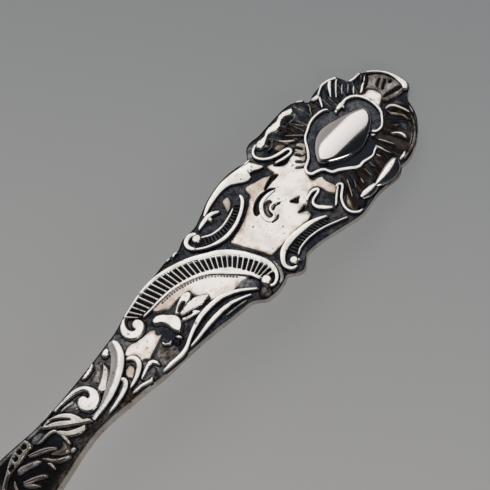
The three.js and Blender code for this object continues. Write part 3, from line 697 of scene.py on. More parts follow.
def ground(s, w):
    """Height, soot and tan at each place. The ground is sunk and black. Each area blends its
    own values in by the distance to its outline, and each slit sinks in along its route."""
    plain, toward_neck = step_between(s, *NECK_PLAIN), step_between(s, *SPRAY_DARKER)
    height = SUNK * (1 - plain)
    soot_and_shade = GROUND_SOOT - LESS_WHERE_WORN * swell(s, *STEM_WORN) + MORE_TOWARDS_NECK * toward_neck
    soot_and_shade = soot_and_shade * (1 - plain) + NECK_SOOT * plain
    tan = np.zeros_like(s)
    waves = np.sin(2.1 * s + 1.3 * np.sin(1.7 * w)) * np.sin(1.9 * w + 0.9 * np.sin(2.3 * s))
    blotch = 0.5 + 0.5 * waves
    # Each area's soot is oxide, and for a few areas it is painted shade or a painted dark
    # reflection.
    for outline, level, grime_and_shade, film, *reach in AREAS:
        line = closed_line(outline)
        part = near(s, w, line, 0.5)
        depth = inset(s[part], w[part], line)
        inside = step_between(depth, -AREA_EDGE, AREA_EDGE)
        height[part] += inside * (level - height[part])
        creep = (-0.15, 0.15 + 0.4 * blotch[part]) if level > 0 else (-0.2, 0.0)
        soot_and_shade[part] += step_between(depth, *(reach or creep)) * (grime_and_shade - soot_and_shade[part])
        if film >= 0:
            film = np.maximum(film, 0.8 * swell(depth, -0.1, 0.1, 0.05, 0.3 + 1.2 * blotch[part]))
        tan[part] += inside * (film - tan[part])
    for route, width in SLITS:
        line = smooth_line(route)[0]
        part = near(s, w, line, width + 0.3)
        off = distance(s[part], w[part], line) - width / 2
        cut = step_between(-off, -0.1, 0.08)
        height[part] -= cut * SLIT_DEPTH
        # Slits go black: oxide in the cut, with painted shade.
        soot_and_shade[part] = np.maximum(soot_and_shade[part], BLACK_SOOT_AND_SHADE * cut)
    return height, soot_and_shade, tan


print("the plate below the heart stands", np.round(ground(*np.array([[30.0], [3.0]]))[0], 2), "mm")

# %% [markdown]
# The blank of the handle is what the ornament stands on. Its outline is lobed at the tip and
# narrows to the neck. Each edge is a row of pairs, read as one smooth curve.

# %% The handle's edges
TERMINAL_LENGTH, HEEL_WIDTH = 36.0, 11.5
LEFT_EDGE = [
    0, -0.9, 0.25, -1.6, 0.95, -3.1, 1.85, -4.2, 2.75, -5.2, 3.65, -5.9, 5.85, -6.2, 6.45, -8.1,
    7.65, -8.9, 8.95, -9.1, 11.45, -8.9, 12.65, -8.6, 13.55, -9.7, 14.25, -10.3, 15.65, -10.7,
    18.65, -10.7, 21.65, -10.5, 25.15, -10.2, 26.35, -8.9, 28.15, -9.3, 30.65, -9.6, 33.65, -9.3,
    35.65, -8.8, 37.65, -8, 39.65, -7.3, 42.65, -7.2, 44.65, -6.5, 45.65, -6.7, 49.65, -6.5,
    53.65, -6.1, 57.65, -5.5, 59.65, -4.9, 62.65, -4.5, 68.65, -4, 72.65, -3.85, 78.65, -3.95,
    80.65, -4.2, 83.65, -4.7, HEEL, -HEEL_WIDTH / 2,
]
RIGHT_EDGE = [
    0, 1.1, 0.95, 1.9, 1.85, 2.5, 2.45, 3.3, 2.85, 4.5, 3.45, 5.7, 4.55, 7, 5.65, 8, 7.15, 8.9,
    8.65, 9.6, 10.95, 10, 11.6, 9.9, 12.45, 10.5, 13.65, 10.7, 15.65, 10.4, 17.15, 10.3,
    19.15, 10.6, 21.45, 10.9, 23.15, 10.6, 24.65, 10.2, 26.65, 9.7, 28.65, 9.2, 30.65, 8.9,
    31.95, 9, 32.75, 9.6, 33.65, 10.2, 34.4, 10.3, 35.3, 9.85, 36, 9.25, 36.45, 9, 37.1, 9.25,
    37.9, 9.5, 40.15, 9.6, 41.45, 9.2, 42.05, 8.6, 42.85, 8, 44.65, 7.6, 46.65, 7.3, 48.65, 6.95,
    50.65, 6.65, 54.65, 6.2, 58.65, 5.85, 60.15, 5.65, 63.15, 5, 66.15, 4.55, 69.65, 4, 72.65, 3.7,
    76.65, 3.95, 80.65, 4.6, 83.65, 5, HEEL, HEEL_WIDTH / 2,
]


def edge_at(pairs, s):
    """Across-place of an edge: a cubic through its pairs, with the slopes of their differences."""
    x, y = np.reshape(pairs, (-1, 2)).T
    m = np.gradient(y, x)
    k = np.clip(np.searchsorted(x, s, side="right") - 1, 0, len(x) - 2)
    span = x[k + 1] - x[k]
    return cubic((s - x[k]) / span, span, y[k], y[k + 1], m[k], m[k + 1])


waist = np.linspace(60, 86, 261)
narrowest = (edge_at(RIGHT_EDGE, waist) - edge_at(LEFT_EDGE, waist)).min()
print("the stem is", round(narrowest, 2), "mm wide at its waist")

# %% [markdown]
# Blanks are forged: a flat face, plain flanks and a rounded underside. Each ring goes once round
# that section: across the face, where the ground gives the height, then down one flank, back along
# the underside and up the other. Near the neck the face turns slightly round. Down the stem its
# right side gets painted shade, soot with brown tan, and by the neck its left edge gets a painted
# highlight, less soot.

# %% The blanks of terminal and stem
STEM_THICKNESS, FLANK_LEAN, MORE_LEAN, BACK_ROUNDING, BACK_POINTS = 2.3, 0.15, 0.3, 0.4, 33
RIM_DROP, RIM_WIDTH, NECK_ROUNDING = 0.15, 0.2, 0.5
WALL_SHARE = np.array([0.1, 0.3, 0.55])
# Painted shade on the stem's right side, and a painted highlight of less soot along the left edge
# by the neck.
SHADE_SOOT, SHADE_TAN, LIT_SOOT = 0.91, 0.7, 0.5
SHADE_REACH, LIT_REACH = (-1.5, -0.4), (-0.75, -0.35)
BACK_SOOT, BACK_TAN, FLANK_SOOT, FLANK_TAN, FLANK_POINTS = 0.18, 0.2, 0.55, 0.4, 5
# Where along the handle each of these begins, is full, fades and is gone. The last one only
# begins and is full.
NECK_ROUND, SHADED_SIDE = (87, 94, 97, HEEL), (60, 68, 87, 92)
LIT_SIDE, LEAN_OUT, THICKENS = (74, 79, 90, 96), (56, 64, 90, 100), (18, 54)


def blank(start, end, rows, columns):
    """Rings of face, flanks and back. The back's depth falls with the square of the place
    across, and nothing goes below the table."""
    s = np.linspace(start, end, rows)[:, None]
    left, right = edge_at(LEFT_EDGE, s), edge_at(RIGHT_EDGE, s)
    share = np.linspace(0, 1, columns)
    w = left + (right - left) * share
    lift, soot_and_shade, tan = (a.reshape(rows, -1) for a in ground((s + 0 * w).ravel(), w.ravel()))
    lift = lift - RIM_DROP * step_between(-np.minimum(w - left, right - w), -RIM_WIDTH, 0)
    lift = lift - NECK_ROUNDING * (2 * share - 1) ** 2 * swell(s, *NECK_ROUND)
    # Painted shade: more soot and tan down the right side of the stem.
    shade = step_between(w - right, *SHADE_REACH) * swell(s, *SHADED_SIDE)
    soot_and_shade = soot_and_shade + shade * (SHADE_SOOT - soot_and_shade)
    tan = tan + shade * (np.maximum(tan, SHADE_TAN) - tan)
    # Painted highlight: less soot along the left edge by the neck.
    lit_edge = step_between(left - w, *LIT_REACH) * swell(s, *LIT_SIDE)
    soot_and_shade = soot_and_shade + lit_edge * (LIT_SOOT - soot_and_shade)

    thicker = (STEM_THICKNESS - TERMINAL_THICKNESS) * step_between(s, *THICKENS)
    back = np.linspace(1, 0, BACK_POINTS)
    lean = FLANK_LEAN + MORE_LEAN * swell(s, *LEAN_OUT)
    back_w = (left - FLANK_LEAN) + (right - left + FLANK_LEAN + lean) * back
    drop = (TERMINAL_THICKNESS + thicker) * (1 - BACK_ROUNDING * (2 * back - 1) ** 2)
    wall_drop = drop[:, :1] * WALL_SHARE
    under = np.concatenate([
        on_face(s, right + lean * WALL_SHARE, -wall_drop),
        on_face(s, back_w, -drop),
        on_face(s, left - FLANK_LEAN * WALL_SHARE, -wall_drop)[:, ::-1],
    ], axis=1)
    under[..., 2] = np.maximum(under[..., 2], 0)
    under_soot, under_tan = (np.full(under.shape[:2], a) for a in (BACK_SOOT, BACK_TAN))
    under_soot[:, [0, -1]] = FLANK_SOOT
    under_tan[:, :FLANK_POINTS] = FLANK_TAN
    rings = np.concatenate([on_face(s, w, lift), under], axis=1)
    return rings, np.hstack([soot_and_shade, under_soot]), np.hstack([tan, under_tan])


make_piece("terminal_blank", "terminal", [blank(0, TERMINAL_LENGTH, 340, 236)])
make_piece("stem_blank", "stem", [blank(TERMINAL_LENGTH, HEEL, 560, 130)])

# %% [markdown]
# Some ornaments have outlines that are too irregular for a strand or a leaf: hooked petals,
# volutes, rims that swell. A relief is a fine grid over such an outline. The distance to the
# outline gives a rounded rise, a thin pad round its foot and the cuts that sink into it. Pad, foot
# and cuts are painted black, oxide with painted shade. A patch is a low relief without the pad, for
# the darker soft-edged places between the folds.

# %% Reliefs and patches
GRID, OUTLINE_STEP, MARGIN, EDGE_GAP = 0.09, 0.08, 0.35, 0.05
PAD_HEIGHT, SOLE, CUT_DEPTH = SUNK + 0.03, FOOT - 0.15, 0.3


def relief(outline, level, edge, tone=0.0, tan=0.0, cuts=(), pad=0.16):
    """A grid over an outline: a thin pad round it, painted black as oxide and shade, then a rounded
    rise to the level. Cuts sink into it and are painted black too."""
    low, high = (f(np.reshape(outline, (-1, 2)), axis=0) for f in (np.min, np.max))
    rows, columns = np.ceil((high - low + 2 * MARGIN) / GRID).astype(int) + 1
    s = np.linspace(low[0] - MARGIN, high[0] + MARGIN, rows)[:, None]
    left = np.maximum(low[1] - MARGIN, edge_at(LEFT_EDGE, s) + EDGE_GAP)
    right = np.minimum(high[1] + MARGIN, edge_at(RIGHT_EDGE, s) - EDGE_GAP)
    w = left + (right - left) * np.linspace(0, 1, columns)
    s = s + 0 * w

    def inside(border):
        """Inset of the whole grid from a border."""
        line = closed_line(border, OUTLINE_STEP)
        return inset(s.ravel(), w.ravel(), line).reshape(w.shape)

    depth = inside(outline) + GROWTH
    on_pad = step_between(depth, -pad - 0.1, -pad)
    rounded = 1 - (1 - np.clip(depth / edge, 0, 1)) ** 2
    lift = FOOT + (PAD_HEIGHT - FOOT) * on_pad + (level - PAD_HEIGHT) * rounded
    # Painted shade over the oxide: outside the outline, on pad and foot, and in the cuts, soot is
    # black.
    dark = BLACK_SOOT_AND_SHADE + step_between(depth, -0.02, 0.09) * (tone - BLACK_SOOT_AND_SHADE)
    for cut in cuts:
        sunk = step_between(inside(cut), -0.13, 0.02)
        lift = lift - CUT_DEPTH * sunk
        dark = np.maximum(dark, BLACK_SOOT_AND_SHADE * sunk)
    rings = np.concatenate([on_face(s, w, lift), on_face(s, w, SOLE)[:, ::-1]], axis=1)
    return rings, np.hstack([dark, dark]), tan


def patch(outline, level, edge, tone, tan=0.0):
    """A relief whose pad has no width."""
    return relief(outline, level, edge, tone, tan, pad=0)


print("reliefs have", round(1 / GRID), "points to a millimetre")

# %% [markdown]
# In the middle of the terminal sits a plain heart-shaped boss, the only smooth dome on the
# handle. A mesh could be pushed up by hand to make it, but its shine depends on its exact curve.
# So its outline is drawn in ring by ring, and two parabolas give the height. They mirror the
# lamp as one long bright patch with dark sides.

# %% The heart-shaped boss
BOSS_OUTLINE = [
    7.7, -0.9, 7.75, -0.1, 8.3, 0.9, 9.1, 1.7, 10.4, 2.5, 11.7, 3.1, 13.2, 3.45, 14.8, 3.3,
    16.4, 2.75, 17.9, 1.95, 19.2, 0.9, 19.7, 0, 19.2, -1.1, 18.1, -2.4, 16.8, -3.4, 15.2, -3.9,
    13.7, -3.6, 12, -2.95, 10.3, -2.3, 8.8, -1.6,
]
BOSS_HEIGHT, RIM_POWER = 1.3, 18
ALONG_BEND, ACROSS_BEND, RIDGE = 0.014, 0.058, 0.42


def boss():
    """Rings drawn in from the outline. Height is a flat parabola along and a steeper one across.
    Both are flatter towards the tip, and the one across is steeper on the right. A high power
    of the share, which also grows to those sides, rounds off the rim."""
    share, place, middle = shrunk(closed_line(BOSS_OUTLINE, count=200)[:-1], 44)
    s, w = place[..., 0], place[..., 1]
    upper = step_between(-s, -17, -7)
    right = step_between(w - middle[1], -1, 2)
    along = ALONG_BEND * (1 - 0.6 * upper) * (s - middle[0]) ** 2
    across = ACROSS_BEND * (1 + 0.6 * right) * (1 - 0.3 * upper) * (w - middle[1] - RIDGE) ** 2
    top = BOSS_HEIGHT - along - across
    lift = SUNK + (top - SUNK) * (1 - share ** (RIM_POWER + 10 * upper + 6 * right)) ** 0.5
    return footed(place, lift), 0.0, 0.0


make_piece("heart_boss_dome", "heart_boss", [boss()], "polished_silver")

# %% [markdown]
# A thin cord frames the heart. On the real spoon it is left standing when the ground is sunk, in
# two long lines with small spurs at their ends. Strands follow every bend of it, and a list of
# widths lets them swell and thin as hand work does.

# %% The cord round the heart
make_piece("cartouche_cord", "cartouche_frame", [
    strand([10.1, 2.5, 9.9, 3, 9.4, 3.25, 8.7, 3.25, 8, 2.8, 7.3, 2.1, 6.8, 1.5, 6.5, 0.8, 6.35, 0,
        6.3, -1, 6.45, -2, 6.8, -2.9, 7.2, -3.5, 7.8, -4, 8.7, -4.3, 9.5, -4.2, 10.3, -4.15,
        11, -4.1], [0.4, 0.3, 0.3, 0.3, 0.35, 0.4, 0.4, 0.4, 0.35, 0.35, 0.35, 0.7, 0.4]),
    strand([10.9, -4.2, 11.3, -3.9, 11.5, -3.75], [0.4, 0.3, 0.2]),
    strand([9.9, -4, 9.85, -3.6, 9.9, -3.4], [0.5, 0.3, 0.15]),
    strand([10.75, 2.95, 10.5, 3.3, 10.2, 3.45], [0.3, 0.25, 0.15]),
    strand([11.7, -5, 12.1, -5.5, 12.8, -5.8, 13.5, -5.9, 14.5, -5.9, 15.5, -5.65, 16.5, -5.15,
        17.5, -4.65, 18.1, -4.1, 18.7, -3.2, 19.4, -2.3, 20.1, -1.6, 20.9, -1.2, 21.5, -0.9,
        21.85, -0.4, 21.9, 0.1, 21.6, 0.6, 20.9, 0.85, 20.2, 1.2, 19.8, 1.6, 19.6, 2.2, 19.3, 2.8,
        18.6, 3.2, 17.8, 3.8, 17, 4.5, 16.4, 5.05, 15.8, 5.3, 15, 5.25, 14, 5.5, 13.2, 5.6,
        12.3, 5.2, 11.6, 5],
        [0.15, 0.3, 0.3, 0.3, 0.3, 0.35, 0.4, 0.4, 0.4, 0.4, 0.35, 0.4, 0.45, 0.45, 0.35, 0.25,
        0.25]),
])

# %% [markdown]
# A shell crowns the tip: a thick rolled rim over a fan of soft flutes. The rim is a strand, and
# the fan is one relief with dark cuts between its flutes. Booleans could cut them too, but they
# leave hard edges, where worn silver has soft ones.

# %% The crest
make_piece("crest_fan", "crest_shell", [
    strand([3.1, -5.1, 2.1, -4.1, 1.4, -3.1, 0.95, -2.1, 0.72, -1.1, 0.68, 0, 0.72, 0.8, 1.1, 1.35,
        1.6, 1.6], [0.2, 0.22, 0.25, 0.35, 0.55, 0.8, 0.95, 0.8, 0.4], 0.75),
    relief([4.9, -4.2, 3.7, -4.75, 2.5, -4.1, 1.5, -2.85, 1.05, -1.4, 0.95, 0.1, 1.25, 1.15,
        2.4, 1.45, 3.7, 1.05, 4.85, 0.5, 4.9, -0.05, 4.37, -0.93, 4.5, -2, 5, -2.9, 5.3, -3.4],
        0.38, 0.3, 0.55, 0.45,
        [[3.6, -4.75, 3.3, -4.6, 3.7, -4.1, 4.4, -3.6, 5.1, -3.4, 4.65, -4.05],
        [2.45, -2.95, 2.4, -2.75, 3.05, -2.4, 3.8, -2, 3.6, -2.4, 3.05, -2.7],
        [1.95, -2.15, 1.95, -1.95, 2.7, -1.5, 3.6, -1.05, 3.5, -1.35, 2.65, -1.8],
        [1.6, -1.45, 1.5, -1.1, 1.85, -0.95, 2.05, -1.1],
        [1.55, 0.3, 1.3, 0.8, 1.85, 0.9, 2.8, 0.6, 3.75, 0.3, 4.6, -0.1, 3.85, -0.15, 2.75, 0.05]]),
])

# %% [markdown]
# The lobes beside the crest are ruffles, like the edge of a shell, with a thin bright rim and
# slanting ridges over a dark ground. The wave gives the folds, strands give rim and ridges, and
# patches are the bluish places that a cloth reached only half.

# %% The upper lobes
make_piece("left_upper_lobes", "left_upper_ruffle", [
    ruffle([3.3, -5.2, 4.4, -5.7, 5.8, -5.9, 6.6, -7.7, 8.6, -8.6, 10.6, -8.3, 12.2, -8.2],
        [5.2, -3.1, 6.2, -3.1, 7.2, -3.7, 8.2, -4.4, 9.6, -4.4, 11, -4.6, 12, -5.6],
        9, 0.1, 0.1, 0.3, 0.7, 0.0),
    strand([3.6, -5.7, 4.2, -5.8, 5, -5.8, 5.7, -5.95, 6, -6.1], [0.15, 0.3, 0.3, 0.3, 0.15]),
    strand([4.4, -4.2, 5.2, -3.9, 5.8, -3.5, 6.4, -3.2], [0.12, 0.3, 0.3, 0.2], 0.5),
    strand([3.6, -4.9, 4.1, -4.5, 4.6, -4.2], [0.1, 0.15, 0.1], 0.45),
    strand([6, -5, 6.5, -4.6, 7.2, -3.9], [0.15, 0.22, 0.15], 0.45, 0.15),
    strand([6.3, -5.9, 6.9, -5.4, 7.6, -4.8], [0.1, 0.2, 0.1], 0.4, 0.5),
    strand([6.6, -8, 7.2, -8.3, 7.8, -8.6, 8.6, -8.8, 9.3, -8.85, 9.9, -8.6, 10.5, -8.3, 11, -8],
        [0.3, 0.35, 0.35, 0.3, 0.3, 0.25, 0.25, 0.3]),
    strand([7.6, -8.5, 8.3, -8.1, 8.9, -7.5, 9.4, -6.9, 10, -6.2], [0.3, 0.5, 0.45, 0.25, 0.1],
        0.5),
    strand([6.8, -7.9, 7.4, -7.5, 8.2, -6.8, 9, -6, 9.5, -5.5], [0.25, 0.3, 0.25, 0.2, 0.1],
        0.5, 0.0, 0.4),
    strand([6.9, -6.6, 7.6, -6.1, 8.4, -5.3], [0.1, 0.18, 0.1], 0.4, 0.4),
    strand([10.9, -7.8, 11.3, -7.3, 11.8, -6.5, 12.2, -6], [0.3, 0.3, 0.25, 0.15]),
    strand([10.7, -8.1, 11.3, -8, 11.8, -8.1, 12.3, -8.35], [0.3, 0.6, 0.6, 0.25]),
    strand([13, -9.1, 13.6, -9.6, 14.1, -10], [0.15, 0.25, 0.15], 0.45, 0.0, 0.4),
    strand([13.2, -8.45, 13.2, -7.75, 13.7, -7.15, 14.2, -6.4], [0.1, 0.2, 0.2, 0.1],
        0.45, 0.4, 0.6),
    patch([14.5, -9.6, 13.9, -9.2, 13.45, -8.4, 13.7, -7.5, 14.4, -6.65, 15, -6.75, 15.5, -7.5,
        15.5, -8.5], 0.3, 0.5, 0.95, -0.35),
    patch([12.9, -6.75, 12.35, -6.5, 12.6, -5.8, 13.2, -5.7, 13.4, -6.2], 0.3, 0.4, 0.93, -0.35),
    patch([10, -8.5, 9.25, -8.1, 10.35, -6.5, 11.35, -5.75, 11.6, -6.2, 10.8, -7.6],
        0.2, 0.5, 0.96, -0.35),
])

make_piece("right_upper_lobe", "right_upper_ruffle", [
    ruffle([2.6, 3.6, 3.6, 5.4, 5.4, 7.4, 7.4, 8.6, 9.4, 9.3, 11.2, 9.5],
        [5.6, 1.6, 6.8, 2.2, 8.2, 3.3, 9.6, 3.6, 10.8, 3.6, 11.6, 4.9],
        5, 0.8, 0.1, 0.35, 1.2, 0.5),
    strand([5.95, 1.6, 5.15, 1.7, 4.6, 2.2, 4.25, 3.15, 4.05, 4, 3.95, 5],
        [0.15, 0.38, 0.38, 0.3, 0.25, 0.08], 0.5, 0.1, 0.2),
    patch([4.3, 1.5, 3.45, 1.7, 3, 2.7, 3.15, 3.8, 3.65, 3.3, 4.1, 2.3], 0.15, 0.4, 0.93, -0.35),
    patch([6.25, 4.8, 5.75, 5.15, 5.65, 5.95, 6.4, 6.4, 6.65, 5.65], 0.3, 0.4, 0.93, -0.35),
    strand([7.4, 4.1, 7.1, 4.65, 6.55, 5.05], [0.1, 0.25, 0.1], 0.4, 0.72, 0.8),
    strand([4.1, 5.1, 4.6, 6.2, 5.4, 7.2, 6.4, 8.1, 7.5, 8.8, 9, 9.3, 10.5, 9.6],
        [0.08, 0.2, 0.25, 0.25, 0.12], 0.45, 0.76, 0.45),
    strand([5.3, 5.9, 6.2, 7.35, 7.9, 8.55, 9.3, 9.05], [0.08, 0.2, 0.2, 0.08], 0.4, 0.82, 0.4),
    strand([6, 1.95, 5.85, 2.85, 5.45, 3.5, 4.95, 4.5, 5, 5.55], [0.1, 0.35, 0.3, 0.25, 0.1],
        0.42, 0.66, 0.5),
    relief([8.55, 5, 7.9, 5.5, 7.4, 6.1, 7.25, 6.7, 7.5, 7.45, 7.75, 7.3, 7.75, 6.7, 7.95, 6.1,
        8.5, 5.4], 0.5, 0.15, 0.0, 0.3),
    strand([10.6, 4.3, 10.1, 5.5, 9.6, 6.9], [0.12, 0.16, 0.06], 0.45, 0.3, 0.4),
    strand([11.1, 9.25, 10.3, 9.2, 9.4, 8.9], [0.2, 0.4, 0.12], 0.5),
    strand([11.75, 4.7, 11.5, 5.6, 11.35, 6.65, 11.05, 7.6], [0.25, 0.25, 0.14, 0.06],
        0.5, 0.25, 0.3),
    strand([3, 3.9, 3.3, 4.6, 3.65, 5.3], [0.08, 0.12, 0.08], 0.35, 0.2),
])

# %% [markdown]
# Lower down on the left an ear swings out and curls back in a hook. Its rim, the boldest line of
# the terminal, swells too freely for a strand, so it is a relief with an outline of its own.
# Black patches are painted shade that deepens the folds behind it.

# %% The ear
make_piece("left_ear_rim", "left_ear", [
    relief([15.3, -9.7, 15.85, -9.95, 16.5, -10.2, 17.2, -10.3, 17.8, -10.2, 18.4, -9.95,
        19.1, -9.95, 19.8, -10, 20.6, -10, 21.15, -9.8, 21.8, -9.5, 22.4, -9.55, 23.05, -9.65,
        23.6, -9.45, 23.9, -8.9, 23.4, -8.45, 22.8, -8.4, 22.25, -8.65, 21.75, -8.9, 21.1, -9.2,
        20.3, -9.1, 19.5, -8.8, 18.8, -8.8, 18.15, -9.25, 17.5, -9.45, 16.8, -9.4, 16, -9.05,
        15.55, -9.15], 0.6, 0.16),
    strand([23.4, -9.6, 24.1, -9.4, 24.7, -9.1, 25.1, -8.6, 25.2, -8.1, 25, -7.5, 24.5, -6.8,
        23.8, -6.25, 22.9, -5.85, 22, -5.6, 21.3, -5.45, 20.85, -5.2, 20.7, -4.8, 20.9, -4.5,
        21.6, -4.45, 22.5, -4.6, 23.3, -4.85, 24, -5.1],
        [0.2, 0.3, 0.35, 0.35, 0.35, 0.35, 0.4, 0.45, 0.4, 0.35, 0.35, 0.35, 0.35, 0.2]),
    ruffle([13.2, -9.2, 14.6, -9.7, 16.2, -9.5, 17.8, -9.3, 19.2, -8.9, 20.6, -9, 21.8, -8.9,
        23, -8.5],
        [12.6, -6.2, 14.4, -6.1, 15.8, -5.8, 17, -5.4, 18.2, -5.2, 19.2, -5.5, 20.4, -6,
        22.2, -6.4], 7, 0.3),
    strand([19, -5.4, 19.6, -5.9, 20.2, -6.5, 20.8, -7.4], [0.15, 0.25, 0.3, 0.1], 0.4, 0.1, 0.7),
    strand([19.5, -7.15, 18.6, -6.2, 17.4, -4.85], [0.1, 0.2, 0.1], 0.45, 0.4, 0.3),
    strand([17.5, -8.1, 16.9, -7.1, 16.2, -5.9], [0.1, 0.2, 0.1], 0.45, 0.6, 0.6),
    strand([15.5, -8.7, 16.25, -8.2, 17.4, -8.2, 18.35, -8.15, 18.9, -7.4],
        [0.1, 0.25, 0.25, 0.25, 0.1], 0.45, 0.78),
    strand([20.6, -8.1, 21.4, -8.05, 22.2, -7.5, 23.2, -7.4], [0.1, 0.25, 0.25, 0.1], 0.45, 0.78),
    # Painted shade: black patches in the folds behind the rim.
    patch([17.2, -9.3, 16.4, -9, 15.7, -8.7, 16.1, -8.2, 17, -8.3, 17.7, -8.8], 0.3, 0.4, BLACK_SOOT_AND_SHADE),
    patch([19.8, -8.8, 18.9, -8.6, 19.1, -8.05, 19.9, -8, 20.5, -8.35], 0.3, 0.4, BLACK_SOOT_AND_SHADE),
    patch([21.6, -8.8, 21.1, -8.8, 21.5, -8.4, 22.5, -7.9, 22.6, -8.2], 0.3, 0.4, BLACK_SOOT_AND_SHADE),
    patch([22, -7.2, 21.3, -7.15, 20.6, -6.4, 20.65, -5.85, 21.4, -5.95, 22.25, -6.4, 22.4, -6.9],
        0.25, 0.4, 0.45, 0.9),
])

# %% [markdown]
# On the right a ruffle answers the ear. Two plump leaves make its rim. They lean, so that only
# half of each mirrors the lamp, as on a rounded edge. Short ridges run down the folds, and a
# hook and a hairpin of thin strands end them.

# %% The lower ruffle
make_piece("right_lower_lobe", "right_lower_ruffle", [
    leaf([11.3, 8.75, 11.6, 8.45, 12.3, 8.35, 13.4, 8.45, 14.5, 8.7, 15.5, 8.95, 16.3, 9.2,
        16.75, 9.35],
        [11.25, 9, 11.7, 9.75, 12.3, 10.2, 13.1, 10.45, 14.1, 10.45, 15.2, 10.25, 16.2, 9.9,
        16.75, 9.6], 0.8, crown=0.34, lean=-0.36),
    leaf([16.75, 9.1, 17.3, 8.95, 17.9, 8.85, 18.8, 8.8, 19.7, 9],
        [16.75, 9.75, 17.3, 9.9, 17.9, 9.95, 18.8, 9.85, 19.7, 9.4], 0.72, crown=0.22, lean=-0.32),
    strand([21, 4.9, 20.3, 4.9, 19.95, 5.3, 20.3, 5.75, 21, 6.25, 21.7, 6.8, 22.2, 7.5, 22.55, 8.4,
        22.55, 9.3, 22.2, 10, 21.6, 10.5, 20.9, 10.6],
        [0.25, 0.3, 0.35, 0.35, 0.35, 0.35, 0.35, 0.35, 0.35, 0.3, 0.25, 0.12]),
    strand([20.4, 5, 21, 5.35, 21.7, 5.85, 22.4, 6.4, 23, 6.9, 23.4, 7.1],
        [0.15, 0.25, 0.3, 0.3, 0.25, 0.1]),
    ruffle([11.2, 8.4, 13.2, 8.3, 14.8, 8.5, 16.4, 8.6, 18, 8.4, 19.6, 8.6, 21, 9.7, 21.9, 9.9],
        [11.2, 5.2, 12.6, 5.8, 14.2, 5.8, 15.8, 5.5, 17, 4.7, 18.4, 3.9, 19.5, 4.6, 20.8, 6.4],
        8, 0.55, 0.12, 0.3, 1.08, 0.6),
    patch([21.5, 7.4, 20.5, 6.8, 20.9, 8.15, 21.4, 9.15, 21.85, 9.75, 22.3, 9.2, 22.2, 8.3],
        0.25, 0.5, 0.6, 0.95),
    patch([20.5, 8.6, 19.75, 8.85, 19.4, 9.9, 20.2, 10.4, 21.1, 10.1, 21.2, 9.35], 0.25, 0.5, 1.1),
    strand([18.8, 5.3, 19.65, 6.7, 20.55, 8.05], [0.1, 0.2, 0.1], 0.45, 0.35, 0.8),
    strand([18.25, 6.25, 18.6, 6.9, 19, 7.4], [0.08, 0.2, 0.08], 0.45, 0.45, 0.8),
    strand([17.3, 6.7, 17.5, 7.3, 17.65, 7.85], [0.08, 0.2, 0.08], 0.45, 0.5, 0.8),
    strand([15.7, 6.1, 15.85, 7.3, 15.95, 7.95], [0.06, 0.14, 0.06], 0.45, 0.6, 0.7),
    strand([14.4, 5.85, 14.5, 6.65, 14.35, 7.2], [0.06, 0.12, 0.06], 0.45, 0.6, 0.3),
    strand([12.75, 5.8, 12.65, 6.35, 12.55, 6.75], [0.08, 0.14, 0.06], 0.45, 0.3, 0.2),
    strand([25.6, 3.25, 25.2, 2.95, 24, 2.6, 23.3, 2.75, 22.95, 3.1, 23.3, 3.4, 24.2, 3.6,
        24.9, 3.85, 25.25, 4.3, 25.2, 5, 24.75, 5.7, 24.2, 6.4, 23.6, 7],
        [0.15, 0.3, 0.4, 0.45, 0.4, 0.35, 0.35, 0.35, 0.4, 0.5, 0.6, 0.45, 0.15]),
])

# %% [markdown]
# Below the heart the plain plate splashes into a curl, and a long smooth leaf lies along the
# left edge. The curl is one strand with a swelling width. The leaf is stretched between two
# routes, because its borders bend apart.

# %% The curl and the long leaf
make_piece("splash_curl", "splash_leaf", [
    strand([27.3, -1.9, 28.2, -2.15, 29.2, -2.2, 30.2, -2, 30.9, -1.5, 31.4, -0.8, 31.75, 0.1,
        31.65, 0.9, 31.2, 1.25, 30.7, 1.1, 30.35, 0.75, 30.3, 0.2, 30.15, -0.3, 29.6, -0.6,
        28.9, -0.5, 28.1, 0, 27.3, 0.55],
        [0.1, 0.45, 0.55, 0.6, 0.6, 0.6, 0.55, 0.5, 0.4, 0.35, 0.3, 0.3, 0.3, 0.3, 0.3, 0.25, 0.1],
        0.38),
])

make_piece("left_long_leaf", "left_leaf", [
    leaf([25.7, -6.6, 26.2, -7.6, 26.6, -8.3, 28, -8.65, 29, -8.85, 30, -9, 31, -9.1, 32, -9.1,
        33, -9, 34, -8.8, 35, -8.55, 36, -8.2, 37, -7.7, 37.6, -7.35],
        [25.6, -6.2, 26.2, -6.4, 27, -6.9, 27.8, -7, 28, -6.5, 28.8, -6.4, 29.6, -6.8, 30.5, -7.5,
        31.3, -8, 32.2, -8.2, 33.5, -8.2, 34.8, -8, 36, -7.75, 37.6, -7.25], 0.5),
    strand([26, -8.5, 26.6, -8.5, 27.4, -8.5], [0.12, 0.25, 0.2], 0.5),
])

# %% [markdown]
# Ribbed scrolls stand on both sides. Each is a bold strand that swells along its curve and winds
# up round a bead. A shallow fluted band lies inside it, and a thin strand closes the band.

